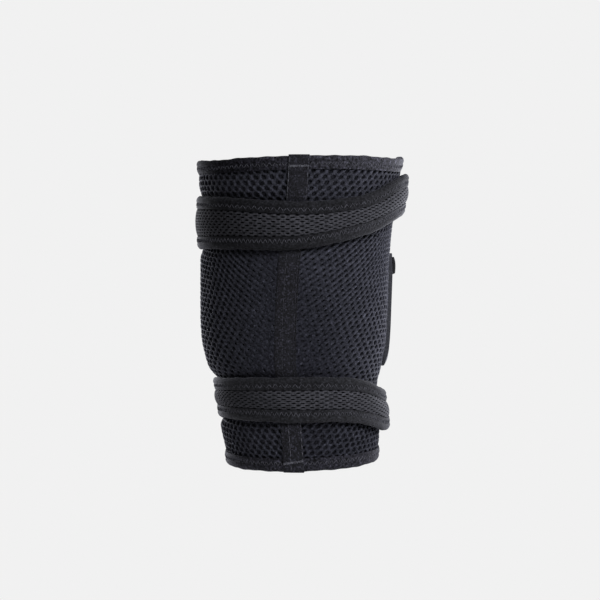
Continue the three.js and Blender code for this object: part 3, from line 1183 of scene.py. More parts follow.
@dataclass
class SewnPatch:
    """Flat patch with rounded edges that keeps its CAD node's shape.

    Attributes:
        name: Name of the piece.
        node: The CAD node.
        finish: Its finish.
        edge: How far its edges are rounded.
        sink: How far its inner face is pressed into what it lies on.
    """

    name: str
    node: str
    finish: Finish
    edge: float = 0.0006
    sink: float = 0.0

    def build(self) -> Piece:
        """Copies the node's solid, rounds its edges and smooths its facets.

        Returns:
            The dressed piece.
        """
        deselect()
        points, triangles = welded(self.node)
        piece = mesh_piece(self.name, points, triangles.tolist())
        for vertex in piece.data.vertices:
            out = Vector((vertex.co.x, vertex.co.y, 0.0)).normalized()
            if vertex.normal.dot(out) < 0:
                vertex.co -= out * self.sink
        piece.select_set(True)
        bpy.context.view_layer.objects.active = piece
        bpy.ops.object.mode_set(mode="EDIT")
        bpy.ops.mesh.select_all(action="SELECT")
        bpy.ops.mesh.tris_convert_to_quads(face_threshold=math.radians(30), shape_threshold=math.radians(60))
        bpy.ops.object.mode_set(mode="OBJECT")
        bevel = piece.modifiers.new("round_edges", "BEVEL")
        bevel.width = self.edge
        bevel.segments = 2
        bevel.angle_limit = math.radians(40)
        smooth = piece.modifiers.new("smooth", "SUBSURF")
        smooth.levels = smooth.render_levels = 2
        for modifier in ("round_edges", "smooth"):
            bpy.ops.object.modifier_apply(modifier=modifier)
        bpy.ops.object.shade_smooth()
        return dress(piece, self.finish, self.node)


@dataclass
class SeamTape:
    """Woven tape down the back seam, stitched along both edges and tacked at both ends.

    Attributes:
        node: The CAD node.
        step: Length of the facets up the tape.
        selvedge: Width of the raised edges.
        ridge: How far they are raised.
        valley: How far the tape sinks beside them, as a share of that.
        line_in: How far the edge threads are from the edges.
        crease: Where the crease runs, as a share of the width from the middle.
        crease_top: Height at which the crease ends.
        faint: Heights between which the threads are faint and a painted shadow line runs in the gap by the
            right edge.
        feather: How far the left edge thins, as shares of the thickness, from the edge inwards.
        right_thin: How far the right edge thins, as a share of the thickness.
        gap_out: How far the gap's painted shadow line is from the right edge.
        gap_width: Half its width.
        line_length: Length of one stitch of the edge threads.
        line_gap: Gap between stitches.
        line_end: How far from the tape's ends the threads end.
        line_points: Points along one stitch of theirs.
        thread: Half the thickness of the thread.
        uneven: How far stitches differ.
        tack_in: How far the tacks are from the lower and upper ends.
        tack_width: Height of a tack.
        tack_turns: Turns of thread in a tack.
        tack_thread: Half the thickness of its thread.
        tack_uneven: How far its turns differ.
        tack_lean: How far the lower and the upper tack rise from left to right.
        tack_reach: How far a tack reaches to each side, as a share of the width.
        tack_lift: How far its thread lies out of the tape.
        probe: How far from the middle the outer face is read, as a share of the width.
        row_blur: How many times what is read is mixed with its neighbours.
        across: Facets across the tape.
    """

    node: str = "back_seam_tape"
    step: float = 0.0010
    selvedge: float = 0.0010
    ridge: float = 0.00022
    valley: float = 0.5
    line_in: float = 0.0007
    crease: float = -0.12
    crease_top: float = 0.045
    faint: Pair = (-0.058, 0.038)
    feather: tuple[float, ...] = (0.75, 0.4, 0.12)
    right_thin: float = 0.25
    gap_out: float = 0.0003
    gap_width: float = 0.00040
    line_length: float = 0.0046
    line_gap: float = 0.0003
    line_end: float = 0.0008
    line_points: int = 7
    thread: float = 0.00019
    uneven: float = 0.2
    tack_in: Pair = (0.0070, 0.0078)
    tack_width: float = 0.0016
    tack_turns: int = 56
    tack_thread: float = 0.00025
    tack_uneven: float = 0.55
    tack_lean: Pair = (0.0022, 0.0002)
    tack_reach: float = 0.48
    tack_lift: float = 0.00012
    probe: float = 0.46
    row_blur: int = 3
    across: int = 22

    def __post_init__(self) -> None:
        """Reads the tape's middle line, width and outer face."""
        digits, near, inset = 5, 2e-5, 1e-4
        points, _ = welded(self.node)
        heights = np.unique(np.round(points[:, 2], digits))
        rows = [points[np.abs(points[:, 2] - height) < near] for height in heights]
        self.heights = heights
        self.middles = np.array([(row[:, 0].min() + row[:, 0].max()) / 2 for row in rows])
        self.width = float(np.mean([np.ptp(row[:, 0]) for row in rows]))
        self.thickness = float(np.mean([np.ptp(row[:, 1][np.argsort(row[:, 0])][2:4]) for row in rows]))
        tree = node_tree(self.node)
        self.fine = np.linspace(heights[0] + inset, heights[-1] - inset, round(np.ptp(heights) / self.step))
        probes = (-self.probe, 0.0, self.probe)
        fits = []
        for height in self.fine:
            middle = float(np.interp(height, heights, self.middles))
            starts = [Vector((middle + probe * self.width, -FAR_OUT, height)) for probe in probes]
            backs = [tree.ray_cast(start, Vector((0, 1, 0)))[0].y for start in starts]
            fits.append(np.polyfit(probes, backs, 2))
        self.fits = blurred(np.array(fits), self.row_blur)

    def middle(self, height: Array) -> Array:
        """Where the tape's middle is across the back."""
        return np.interp(height, self.heights, self.middles)

    def point(self, share: Array, height: Array, lift: Array | float) -> Array:
        """Points on the tape.

        Args:
            share: Shares of the width from the middle, from -0.5 to 0.5.
            height: Heights.
            lift: How far out of the outer face.

        Returns:
            The points.
        """
        fit = np.stack([np.interp(height, self.fine, self.fits[:, k]) for k in range(3)], axis=-1)
        back = (fit[..., 0] * share + fit[..., 1]) * share + fit[..., 2]
        slope = (2 * fit[..., 0] * share + fit[..., 1]) / self.width
        out = unit(np.stack([slope, -np.ones_like(slope), 0 * slope], axis=-1))
        base = np.stack([self.middle(height) + share * self.width, back, height], axis=-1)
        return base + out * np.asarray(lift)[..., None]

    def _outward(self, share: Array, height: Array) -> Array:
        """Directions out of the tape at shares of its width and heights."""
        return unit(self.point(share, height, self.step) - self.point(share, height, 0.0))

    def build(self) -> list[Piece]:
        """Makes the tape and its stitching.

        Returns:
            The dressed pieces.
        """
        share = np.linspace(-0.5, 0.5, self.across)
        from_edge = (0.5 - np.abs(share)) * self.width
        lift = self.ridge * bell(from_edge - self.selvedge * 0.6, self.selvedge * 0.6)
        lift -= self.valley * self.ridge * bell(from_edge - 2 * self.selvedge, self.selvedge * 0.7)
        lift[-1] -= self.right_thin * self.thickness
        lift[: len(self.feather)] -= np.array(self.feather) * self.thickness
        heights = np.concatenate([[self.heights[0]], self.fine[1:-1], [self.heights[-1]]])
        grid_share, grid_height = np.meshgrid(share, heights)
        outer = self.point(grid_share, grid_height, lift)
        inner = self.point(grid_share[:, ::3], grid_height[:, ::3], -self.thickness)
        tape = loft("seam_tape", np.concatenate([outer, inner[:, ::-1]], axis=1), ring=False)
        low, high = self.heights[0] + self.line_end, self.heights[-1] - self.line_end
        count = round((high - low) / (self.line_length + self.line_gap))
        starts = np.linspace(low, high, count, endpoint=False)
        dull = (starts > self.faint[0]) & (starts < self.faint[1])
        side, gap = 0.5 - self.line_in / self.width, 0.5 + self.gap_out / self.width
        creased = starts[~dull & (starts < self.crease_top)]
        bright = {-side: starts[starts > self.faint[1]], side: starts[~dull], self.crease: creased}
        faint = {side: starts[dull], self.crease: starts[dull]}
        lines = [
            self._lines("seam_tape_stitches", bright, self.thread, EDGE_THREAD),
            self._lines("seam_tape_faint_stitches", faint, self.thread, FAINT_THREAD),
            # The gap's shadow is painted as a dark thread-shaped line
            self._lines("seam_tape_gap_shadow", {gap: starts[dull]}, self.gap_width, GAP_SHADOW_LINE),
        ]
        return [dress(tape, TAPE_KNIT, self.node), *lines, self._tacks()]

    def _lines(self, name: str, starts: dict[float, Array], radius: float, finish: Finish) -> Piece:
        """Makes straight threads up the tape.

        Args:
            name: Name of the piece.
            starts: Heights at which stitches begin, by their share of the width from the middle.
            radius: Half the thread's thickness.
            finish: The thread's finish.

        Returns:
            The dressed piece.
        """
        along = self.line_length * np.linspace(0, 1, self.line_points)
        height = np.concatenate(list(starts.values()))[:, None] + along
        share = np.repeat(list(starts), [len(run) for run in starts.values()])[:, None] + 0 * height
        points, outward = self.point(share, height, 0.0), self._outward(share, height)
        return dress(stitches(name, points, outward, radius, self.uneven), finish)

    def _tacks(self) -> Piece:
        """Makes the bar tacks: close threads across each end of the tape.

        Returns:
            The dressed piece.
        """
        heights = self.heights[0] + self.tack_in[0], self.heights[-1] - self.tack_in[1]
        zig = np.linspace(-self.tack_reach, self.tack_reach, self.tack_turns)
        share = zig[:-1, None] + np.diff(zig)[:, None] * np.linspace(0, 1, STITCH_POINTS)
        sense = np.where(np.arange(len(share)) % 2 == 0, 1, -1)[:, None]
        wave = sense * np.linspace(-0.5, 0.5, STITCH_POINTS)
        runs, outs = [], []
        for height, rise in zip(heights, self.tack_lean):
            tall = height + rise * share / (2 * self.tack_reach) + wave * self.tack_width
            runs.append(self.point(share, tall, self.tack_lift))
            outs.append(self._outward(share, tall))
        threads, outward = np.concatenate(runs), np.concatenate(outs)
        piece = stitches("seam_tape_tacks", threads, outward, self.tack_thread, self.tack_uneven)
        return dress(piece, TACK_THREAD)


@dataclass
class NetBand:
    """One band of the sleeve's net, between two lines round the sleeve.

    Attributes:
        name: Name of the piece.
        pitch: Distance between holes along a row.
        row: Distance between rows.
        lean: Share of the full lean of the holes, left and right of the seam.
        low: Heights of its lower line at angles.
        high: Heights of its upper line at angles.
        seam_fade: How much the holes close up beside the seam, from 0 to 1, at the lower and upper line.
        left_smooth: How much the strands flatten left of the seam, likewise.
        right_smooth: How much they do right of it, likewise.
        fade_reach: How far from the tape they do, likewise.
        shade: How much painted shade darkens the net, from 0 to 1, left and right of the seam.
    """

    name: str
    pitch: float
    row: float
    lean: Pair
    low: Line
    high: Line
    seam_fade: Pair = (0.0, 0.0)
    left_smooth: Pair = (0.0, 0.0)
    right_smooth: Pair = (0.0, 0.0)
    fade_reach: Pair = (0.004, 0.004)
    shade: Pair = (0.0, 0.0)


@dataclass
class Sleeve:
    """Spacer-mesh sleeve: a plain inner wall under a net of six-sided holes.

    Attributes:
        form: The worn sleeve's faces.
        tape: The seam tape, where the net is cut.
        shear: How far a row shifts sideways for its height, at full lean.
        climb: How far rows climb at the sides, at full lean.
        sag: How far they sag beside the seam.
        corner_slide: How far corners slide to straighten the ridges of leaning cells.
        corner_rise: How far they rise or sink for it.
        hole_long: Half the length of a hole, in upright cells and between full ridges.
        hole_wide: Half its width, likewise.
        hole_turn: Turn of a leaning hole from the level.
        bridge_drop: How far the slanting strands lie below the others.
        shoulder: Where the strand turns down, as a share of the way from its crest to the hole.
        shoulder_drop: How far it is down there, as a share of the net's depth.
        depth: Depth of the net.
        tuck: How far the net runs under hems and straps.
        seam_clear: Distance from the seam that cells' middles leave free, under the tape.
        uneven: How far strands stray.
        ridged: From which lean strands grow into ridges, and over how much more of it.
        ridge_reach: How far round the sleeve ridges go, left and right of the seam.
        ridge_end: Share of that reach at which they end.
        lean_reach: Angles right of the seam at which cells begin to stand up, and are upright.
        seam_lift: How far the net rises to meet the tape.
        lift_reach: How far from the tape it does.
        seam_tone: How dark the closed net is beside the seam, from 0 to 1, left and right of it.
        seam_fleck: How much that varies from point to point.
        right_reach: How much further the closed net reaches on the right of the seam.
        hole_limit: How far a hole may reach on the way to the crests round it, as a share.
        hole_least: Share of a hole's size that is left where the net is closed.
        hole_spread: Between which shares of their size holes vary.
        crest_uneven: How much crests differ in height, as a share of how far strands stray.
        crest_fleck: How much darker some crests are, from 0 to 1.
        bridge_painted_shade: How much painted shade the sunken bridges between ridges get, from 0 to 1.
        shoulder_painted_shade: Painted shade on shoulders, and how much more under a shaded crest.
        hole_painted_shade: How much painted shade the edges of holes get.
        relief_least: Share of the net's relief that is left where it is closed.
        wall_lap: How far the wall rises into the net.
        wall_shade: How much painted shade darkens the wall, from 0 to 1, on the back's left, middle and
            right.
        wall_columns: Facets round the wall.
        wall_rows: Rows of points up the wall.
    """

    form: SleeveForm
    tape: SeamTape
    shear: float = 0.55
    climb: float = 0.16
    sag: float = 0.055
    corner_slide: float = 0.00034
    corner_rise: float = 0.00054
    hole_long: Pair = (0.00130, 0.00135)
    hole_wide: Pair = (0.00112, 0.00068)
    hole_turn: float = math.radians(38)
    bridge_drop: float = 0.0009
    shoulder: float = 0.5
    shoulder_drop: float = 0.2
    depth: float = 0.0014
    tuck: float = 0.0030
    seam_clear: float = 0.0034
    uneven: float = 0.00017
    ridged: Pair = (0.4, 0.35)
    ridge_reach: Pair = (math.radians(34), math.radians(75))
    ridge_end: float = 1.5
    lean_reach: Pair = (math.radians(30), math.radians(120))
    seam_lift: float = 0.0007
    lift_reach: float = 0.0030
    seam_tone: Pair = (0.7, 0.82)
    seam_fleck: float = 0.06
    right_reach: float = 1.25
    hole_limit: float = 0.82
    hole_least: float = 0.1
    hole_spread: Pair = (0.84, 1.1)
    crest_uneven: float = 0.7
    crest_fleck: float = 0.3
    bridge_painted_shade: float = 0.85
    shoulder_painted_shade: Pair = (0.3, 0.45)
    hole_painted_shade: float = 0.95
    relief_least: float = 0.15
    wall_lap: float = 0.00008
    wall_shade: Sides = (0.0, 0.5, 0.78)
    wall_columns: int = 144
    wall_rows: int = 90

    def openness(self, band: NetBand, angle: Array, height: Array) -> tuple[Array, Array]:
        """How open the net is, from 1 down to less beside the seam.

        Args:
            band: The net's band.
            angle: Angles round the sleeve.
            height: Heights.

        Returns:
            The openness of the holes and the depth of the strands at each place.
        """
        low, high = band.low(angle), band.high(angle)
        up = np.clip((height - low) / (high - low), 0, 1)
        reach = np.interp(up, (0, 1), band.fade_reach)
        left = self._aside(angle, height) < 0
        near = self._near_tape(angle, height, np.where(left, reach, self.right_reach * reach))
        smooth = [np.interp(up, (0, 1), ends) for ends in (band.left_smooth, band.right_smooth)]
        return 1 - np.interp(up, (0, 1), band.seam_fade) * near, 1 - np.where(left, *smooth) * near

    def _aside(self, angle: Array, height: Array) -> Array:
        """How far places are to the right of the tape's middle."""
        return self.form.outer(angle, height) * np.sin(angle) - self.tape.middle(height)

    def _near_tape(self, angle: Array, height: Array, reach: Array | float) -> Array:
        """How near places are to the tape: 1 beside it, and less over a reach."""
        aside = np.clip(np.abs(self._aside(angle, height)) - self.tape.width / 2, 0, None)
        return np.where(np.cos(angle) > 0, bell(aside, reach), 0.0)

    def build_wall(self) -> Piece:
        """Makes the inner wall.

        Returns:
            The dressed piece.
        """
        angle = np.arange(self.wall_columns) * FULL_TURN / self.wall_columns
        bottom = self.form.rim_height(self.form.bottom, angle)
        top = self.form.rim_height(self.form.top, angle)
        up = np.linspace(0, 1, self.wall_rows)
        height = bottom[:, None] + (top - bottom)[:, None] * up
        around = np.broadcast_to(angle[:, None], height.shape)
        outer = self.form.skin(around, height, self.wall_lap - self.depth)
        inner_height = height[:, ::-2]
        inner_angle = around[:, ::-2]
        inner = polar_place(inner_angle, self.form.inner(inner_angle, inner_height), inner_height)
        sections = np.concatenate([outer, inner], axis=1)
        # Painted shade on the wall's outer face, seen in the net's holes
        shades = np.full(sections.shape[:2], self.wall_shade[1])
        shades[:, : len(up)] = sided(around, self.wall_shade)
        piece = loft("sleeve_wall", sections, ring=True, pits=shades)
        return dress(piece, BACK_FLEECE, self.form.node)

    @staticmethod
    def _outline(pitch: float, row: float) -> Array:
        """A cell's outline.

        Args:
            pitch: Distance between holes along a row.
            row: Distance between rows.

        Returns:
            Its corners, with a point on each slanting side, in turn.
        """
        half, rise = pitch / 2, row / 3
        right, left = [(half, -rise), (half, rise)], [(-half, rise), (-half, -rise)]
        corners = [*right, (0.0, 2 * rise), *left, (0.0, -2 * rise)]
        points = []
        for here, there in zip(corners, corners[1:] + corners[:1]):
            points.append(here)
            if here[0] != there[0]:
                points.append(((here[0] + there[0]) / 2, (here[1] + there[1]) / 2))
        return np.array(points)

    def _straightened(self, flat: Array, side: Array, ridge: Array) -> Array:
        """Moves cells' corners so that the strands along the lean run straight.

        Args:
            flat: Points of outlines on the flat cloth.
            side: Where each is in the outline.
            ridge: How far strands are grown into ridges there.

        Returns:
            The points.
        """
        # Corners go one way and the other in turn, and points on slanting sides stay
        sense = np.array([1, -1, 0, 1, 0, -1, 1, 0, -1, 0])[side]
        slide = -sense * ridge * self.corner_slide
        return flat + np.stack([slide, sense * np.abs(ridge) * self.corner_rise], axis=-1)

    def _lean(self, band: NetBand, turn: Array) -> Array:
        """How far cells lean.

        Args:
            band: The net's band.
            turn: Angles from the seam.

        Returns:
            The lean at each angle, from -1 to the left to 1 to the right.
        """
        start, end = self.lean_reach
        upright = np.clip((turn - start) / (end - start), 0, 1)
        right = band.lean[1] * (0.5 + 0.5 * np.cos(math.pi * upright))
        return np.where(turn > 0, right, -band.lean[0] * np.clip(np.cos(turn), 0, None))

    def _ridge(self, band: NetBand, turn: Array) -> Array:
        """How far strands are grown into ridges.

        Args:
            band: The net's band.
            turn: Angles from the seam.

        Returns:
            The growth at each angle, from -1 where cells lean to the left to 1.
        """
        start, length = self.ridged
        lean = self._lean(band, turn)
        reach = np.where(turn > 0, *self.ridge_reach[::-1])
        grown = np.sign(lean) * np.clip((np.abs(lean) - start) / length, 0, 1)
        return grown * np.clip(self.ridge_end - np.abs(turn) / reach, 0, 1)

    def _hole_shares(self, outline: Array, lean: Array, ridge: Array) -> Array:
        """Sizes of the oval holes.

        Args:
            outline: Outline of each cell.
            lean: How far each cell leans.
            ridge: How far its strands are grown into ridges.

        Returns:
            How far the hole's edge is on the way to each point of the outline.
        """
        lean, ridge = lean[:, None], np.abs(ridge)[:, None]
        across = outline[..., 0] + self.shear * lean * outline[..., 1]
        turn = np.arctan2(outline[..., 1], across) - np.sign(lean) * self.hole_turn
        half_long = self.hole_long[0] + (self.hole_long[1] - self.hole_long[0]) * ridge
        half_wide = self.hole_wide[0] + (self.hole_wide[1] - self.hole_wide[0]) * ridge
        reach = 1 / np.hypot(np.cos(turn) / half_long, np.sin(turn) / half_wide)
        return np.minimum(reach / np.hypot(across, outline[..., 1]), self.hole_limit)

    def build_net(self, band: NetBand) -> Piece:
        """Makes one band of the net.

        Args:
            band: The band.

        Returns:
            The dressed piece.
        """
        around = round_angles()
        low, high = band.low(around), band.high(around)
        centre = float((low.mean() + high.mean()) / 2)
        girth = self.form.girth(centre)
        count = round(girth / band.pitch)
        pitch = girth / count
        spare, spare_rows = 12, 8
        rows = math.ceil((high.max() - low.min()) / 2 / band.row) + spare_rows
        up, along = np.meshgrid(np.arange(-rows, rows + 1), np.arange(-spare, count + spare))
        cells = np.stack([(along + 0.5 * (up % 2)) * pitch, up * band.row], axis=-1).reshape(-1, 2)
        seam = math.asin(float(self.tape.middle(np.array(centre))) / (girth / FULL_TURN))

        def turn_at(flat: Array) -> Array:
            """Angles from the seam of places on the flat cloth, which keep their side past the seam."""
            turn = FULL_TURN * flat[..., 0] / girth
            return np.where(turn < math.pi, np.maximum(turn, WELD), np.minimum(turn - FULL_TURN, -WELD))

        def laid(flat: Array) -> tuple[Array, Array]:
            """Lays places on the flat cloth round the sleeve.

            Args:
                flat: Lengths along and up the cloth.

            Returns:
                Their angles and heights.
            """
            lean = self._lean(band, turn_at(flat))
            angle = seam + (flat[..., 0] + self.shear * lean * flat[..., 1]) / girth * FULL_TURN
            turn = np.abs(np.mod(FULL_TURN * flat[..., 0] / girth + 1, FULL_TURN) - 1)
            turn = np.minimum(np.minimum(turn, FULL_TURN - turn), math.pi / 2)
            rise = self.climb * np.sin(turn) ** 2 - self.sag * (turn + np.sin(turn) * np.cos(turn))
            return angle, centre + flat[..., 1] + max(band.lean) * rise * girth / FULL_TURN

        angle, height = laid(cells)
        radius = self.form.outer(angle, height)
        past_seam = radius * (angle - np.arcsin(self.tape.middle(height) / radius))
        kept = (past_seam > self.seam_clear) & (past_seam < FULL_TURN * radius - self.seam_clear)
        kept &= (height > band.low(angle) - self.tuck) & (height < band.high(angle) + self.tuck)
        outline = self._outline(pitch, band.row)
        points, faces, pits = self._cell_mesh(band, cells[kept], outline, laid, turn_at)
        return dress(mesh_piece(band.name, points, faces.tolist(), pits), NET_KNIT)

    def _cell_mesh(
        self, band: NetBand, cells: Array, outline: Array, laid: Laying, turn_at: Line
    ) -> tuple[Array, Array, Array]:
        """Strands round every cell: over the crest, down into the hole and back underneath.

        Args:
            band: The net's band.
            cells: Middles of the cells on the flat cloth.
            outline: A cell's outline.
            laid: Lays flat places on the sleeve.
            turn_at: Gives flat places' angles from the seam.

        Returns:
            Points, faces, and the painted shade at each point, darkest down in holes.
        """
        chance = np.random.default_rng(len(cells))
        corners = len(outline)
        crest = (cells[:, None] + outline).reshape(-1, 2)
        _, first, shared = np.unique(np.round(crest / WELD), axis=0, return_index=True, return_inverse=True)
        shared = shared.reshape(-1, corners)
        crest = crest[first]
        place = first % corners
        half = place % (corners // 2)
        ridge = self._ridge(band, turn_at(crest))
        # Slanting strands across the lean sink as bridges, and those along it rise as ridges
        bridge = np.where(half == 2, 0.5 + 0.5 * ridge, np.where(half == 4, 0.5 - 0.5 * ridge, 0))
        stray = self._straightened(crest, place, ridge) + chance.normal(0, self.uneven, crest.shape)
        sag = np.abs(chance.normal(0, self.crest_uneven * self.uneven, len(crest)))
        crest_drop = self.bridge_drop * bridge + sag
        open_cells, _ = self.openness(band, *laid(cells))
        swell = self.hole_least + (1 - self.hole_least) * open_cells
        swell *= chance.uniform(*self.hole_spread, len(cells))
        shifted = cells + chance.normal(0, self.uneven, cells.shape)
        cell_turn = turn_at(cells)
        cell_ridge = self._ridge(band, cell_turn)
        own_outline = self._straightened(outline[None], np.arange(corners)[None], cell_ridge[:, None])
        shares = self._hole_shares(own_outline, self._lean(band, cell_turn), cell_ridge) * swell[:, None]
        hole = shifted[:, None] + own_outline * shares[:, :, None]
        shoulder = hole + (stray[shared] - hole) * (1 - self.shoulder)
        shoulder_drop = crest_drop[shared] + self.shoulder_drop * self.depth
        # Painted shade on the sunken bridges, and random darker flecks on crests
        crest_shade_and_fleck = np.clip(self.bridge_painted_shade * bridge * np.abs(ridge), 0, 1)
        crest_shade_and_fleck += chance.uniform(0, self.crest_fleck, len(crest))
        shoulder_shade = self.shoulder_painted_shade[0] + self.shoulder_painted_shade[1] * crest_shade_and_fleck[shared]
        # Painted shade of each level, from none on crests to most in holes and underneath, darker still by
        # the band's painted shade
        levels, pits = [], []
        for flat, drop, painted_shade in (
            (stray, crest_drop, crest_shade_and_fleck),
            (shoulder.reshape(-1, 2), shoulder_drop.ravel(), shoulder_shade.ravel()),
            (hole.reshape(-1, 2), np.full(hole[..., 0].size, self.depth), self.hole_painted_shade),
            (stray, np.full(len(stray), self.depth), 1.0),
        ):
            angle, height = laid(flat)
            _, rough = self.openness(band, angle, height)
            lift = self.seam_lift * self._near_tape(angle, height, self.lift_reach)
            relief = self.relief_least + (1 - self.relief_least) * rough
            levels.append(self.form.skin(angle, height, lift - drop * relief))
            left = self._aside(angle, height) < 0
            tone = np.where(left, *self.seam_tone) + chance.normal(0, self.seam_fleck, len(flat))
            shade = np.where(left, *band.shade)
            pits.append(shade + (1 - shade) * np.clip(tone + (painted_shade - tone) * rough**2, 0, 1))
        own = np.arange(len(cells) * corners).reshape(-1, corners)
        shoulder_ids = len(crest) + own
        hole_ids = shoulder_ids + own.size
        under_ids = len(crest) + 2 * own.size + shared
        rings = [shared, shoulder_ids, hole_ids, under_ids]
        faces = [self._between(one, other) for one, other in zip(rings, rings[1:])]
        faces.append(self._rim_faces(shared, under_ids))
        return np.concatenate(levels), np.concatenate(faces), np.concatenate(pits)

    @staticmethod
    def _between(one: Array, other: Array) -> Array:
        """Faces between two rings of points in every cell."""
        quads = np.stack([one, np.roll(one, -1, axis=1), np.roll(other, -1, axis=1), other], axis=-1)
        return quads.reshape(-1, 4)

    @staticmethod
    def _rim_faces(crest: Array, under: Array) -> Array:
        """Faces that close the net's own edges, where a cell has no neighbour.

        Args:
            crest: Numbers of the crests' points, by cell.
            under: Numbers of the points below them.

        Returns:
            The faces.
        """
        here, there = crest.ravel(), np.roll(crest, -1, axis=1).ravel()
        below_here, below_there = under.ravel(), np.roll(under, -1, axis=1).ravel()
        sides = np.sort(np.stack([here, there], axis=-1), axis=1)
        _, index, uses = np.unique(sides, axis=0, return_inverse=True, return_counts=True)
        lone = uses[index.ravel()] == 1
        return np.stack([there, here, below_here, below_there], axis=-1)[lone]

    def build(self, bands: Sequence[NetBand], trims: Sequence[Piece]) -> None:
        """Makes the whole sleeve.

        Args:
            bands: The net's bands.
            trims: Pieces that are sewn to it; not used.
        """
        wall = self.build_wall()
        nets = [self.build_net(band) for band in bands]
        girth, height = self.form.girth(0.0), self.form.high - self.form.low


@dataclass(frozen=True)
class Lamp:
    """One soft square light that faces the origin.

    Attributes:
        name: Its name.
        place: Where it stands.
        size: Its width.
        power: Its power in watts.
    """

    name: str
    place: tuple[float, float, float]
    size: float
    power: float


@dataclass
class Studio:
    """Pale room, soft light from the right, rim lights on both sides and a camera square to the back.

    Attributes:
        distance: From the camera to the sleeve's axis.
        view_width: Width of the view at the sleeve's axis.
        sensor: Width of the camera's sensor in millimetres.
        backdrop: Linear grey of the room.
        ambient: Light from all round.
        floor_drop: Depth of the floor below the origin.
        floor_radius: Half the width of the floor.
        floor_colour: Its linear colour.
        floor_grain: Between which shares of that it varies.
        light_colour: Linear colour of the lights.
        lamps: The lights.
    """

    distance: float = 1.0
    view_width: float = 0.432
    sensor: float = 36.0
    backdrop: float = 0.88
    ambient: float = 0.17
    floor_drop: float = 0.45
    floor_radius: float = 0.95
    floor_colour: Colour = (0.8, 0.8, 0.8)
    floor_grain: Pair = (0.98, 1.02)
    light_colour: Colour = (0.97, 0.98, 1.06)
    lamps: tuple[Lamp, ...] = (
        Lamp("key", (0.58, -0.75, 0.65), size=0.6, power=15.4),
        Lamp("left_rim", (-0.58, 0.87, 0.1), size=0.5, power=13.5),
        Lamp("right_side", (0.95, 0.3, 0.15), size=0.5, power=6.6),
        Lamp("right_rim", (0.62, 0.85, 0.1), size=0.5, power=9.5),
    )

    def build(self) -> None:
        """Makes the room, the lights and the camera."""
        self._camera()
        self._room()
        for lamp in self.lamps:
            self._light(lamp)
        bpy.context.scene.view_settings.view_transform = "Standard"

    def _camera(self) -> None:
        """Puts the camera square to the back, level with the origin."""
        deselect()
        bpy.ops.object.camera_add(location=(0.0, -self.distance, 0.0), rotation=(math.pi / 2, 0.0, 0.0))
        camera = bpy.context.object
        camera.name = "camera"
        camera.data.sensor_width = self.sensor
        camera.data.lens = self.sensor * self.distance / self.view_width
        bpy.context.scene.camera = camera

    def _room(self) -> None:
        """Makes the pale surroundings and the floor."""
        world = bpy.data.worlds.new("room")
        world.use_nodes = True
        bpy.context.scene.world = world
        bench = NodeBench(world.node_tree)
        shown = world.node_tree.nodes["Background"]
        shown.inputs["Color"].default_value = (1.0, 1.0, 1.0, 1.0)
        seen = bench.node("ShaderNodeLightPath").outputs["Is Camera Ray"]
        bench.link(bench.ramp(seen, self.ambient, self.backdrop), shown.inputs["Strength"])
        deselect()
        bpy.ops.mesh.primitive_circle_add(
            vertices=96, radius=self.floor_radius, fill_type="NGON", location=(0.0, 0.0, -self.floor_drop)
        )
        floor = bpy.context.object
        floor.name = "floor"
        bpy.ops.object.transform_apply(location=True)
        paint = bpy.data.materials.new("floor_paint")
        paint.use_nodes = True
        bench = NodeBench(paint.node_tree)
        shader = paint.node_tree.nodes["Principled BSDF"]
        grain = bench.ramp(bench.noise(bench.object_place(), scale=30.0, detail=3.0), *self.floor_grain)
        bench.link(bench.tinted(self.floor_colour, grain), shader.inputs["Base Color"])
        shader.inputs["Roughness"].default_value = 0.9
        floor.data.materials.append(paint)

    def _light(self, lamp: Lamp) -> None:
        """Adds a light.

        Args:
            lamp: The light.
        """
        turn = Vector(lamp.place).to_track_quat("Z", "Y").to_euler()
        bpy.ops.object.light_add(type="AREA", location=lamp.place, rotation=turn)
        light = bpy.context.object
        light.name = lamp.name
        light.data.size = lamp.size
        light.data.energy = lamp.power
        light.data.color = self.light_colour


def strap_pair() -> dict[str, WrapStrap]:
    """The upper and the lower strap.

    Returns:
        The straps, by place.
    """
    straps = (
        WrapStrap(
            "upper",
            shade=(0.34, 0.0, 0.14),
            top_shade=(0.52, 0.31, 0.38),
            bottom_shade=(0.44, 0.26, 0.0),
            slack_shade=0.3,
        ),
        WrapStrap(
            "lower",
            shade=(0.22, 0.0, 0.22),
            top_shade=(0.0, 0.2, 0.3),
            bottom_shade=(0.1, 0.12, 0.14),
            slack_shade=0.2,
        ),
    )
    return {strap.place: strap for strap in straps}


def hem_pair() -> dict[str, FoldedBinding]:
    """The top and the bottom hem.

    Returns:
        The hems, by rim.
    """
    return {
        "top": FoldedBinding(
            "top_edge",
            FoldRail("top_hem", opens_up=False, ring=True),
            HEM_KNIT,
            thinning=HEM_THINNING,
            sway=TOP_SWAY,
            shade=(0.8, 0.3, 0.0),
        ),
        "bottom": FoldedBinding(
            "bottom_edge",
            FoldRail("bottom_hem", opens_up=True, ring=True),
            HEM_KNIT,
            thinning=HEM_THINNING,
            shade=(0.3, 0.42, 0.53),
            stitch_length=0.0034,
        ),
    }


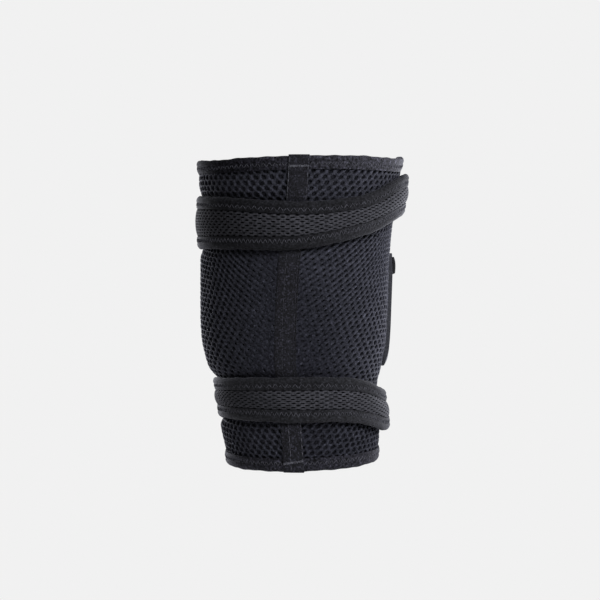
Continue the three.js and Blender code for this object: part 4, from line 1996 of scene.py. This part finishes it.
def net_bands(
    form: SleeveForm, hems: dict[str, FoldedBinding], straps: dict[str, WrapStrap]
) -> tuple[NetBand, ...]:
    """The net's three bands, between the hems and the straps.

    Args:
        form: The worn sleeve's faces.
        hems: The hems, by rim.
        straps: The straps, by place.

    Returns:
        The bands, from the top down.
    """

    def hem_line(name: str, sign: int) -> Line:
        """Line of a hem's free edge.

        Args:
            name: Name of the rim.
            sign: 1 for up from the rim, and -1 for down.

        Returns:
            The edge's heights at angles.
        """
        plane = getattr(form, name)
        hem = hems[name]
        return lambda angle: form.rim_height(plane, angle) + sign * hem.rail.leg_height + hem.rise(angle)

    upper, lower = straps["upper"].edges, straps["lower"].edges
    return (
        NetBand(
            "net_top",
            pitch=0.0060,
            row=0.0038,
            lean=(0.5, 0.66),
            low=lambda angle: upper(angle)[1],
            high=hem_line("top", -1),
            shade=(0.2, 0.14),
        ),
        NetBand(
            "net_middle",
            pitch=0.0057,
            row=0.0034,
            lean=(0.85, 1.0),
            low=lambda angle: lower(angle)[1],
            high=lambda angle: upper(angle)[0],
            seam_fade=(0.97, 0.85),
            left_smooth=(0.97, 0.8),
            right_smooth=(0.97, 0.1),
            fade_reach=(0.031, 0.022),
        ),
        NetBand(
            "net_bottom",
            pitch=0.0053,
            row=0.0037,
            lean=(0.5, 0.6),
            low=hem_line("bottom", 1),
            high=lambda angle: lower(angle)[0],
            seam_fade=(0.15, 0.15),
            shade=(0.22, 0.5),
        ),
    )


def main() -> None:
    """Builds the support piece by piece."""
    logging.basicConfig(level=logging.INFO, format="%(name)s %(message)s")
    Studio().build()
    form = SleeveForm()
    tape = SeamTape()
    straps = strap_pair()
    hems = hem_pair()
    trims = tape.build()
    for hem in hems.values():
        trims += [hem.build(hem.rail.node), hem.stitch()]
    for strap in straps.values():
        strap.build()
    bands = net_bands(form, hems, straps)
    Sleeve(form, tape).build(bands, trims)
    pad = SewnPatch("pad_cover", "side_pad", PAD_KNIT, sink=0.0013).build()
    SewnPatch("pad_hook", "side_pad_tab", HOOK_BACK, sink=0.0006).build()


if __name__ == "__main__":
    main()
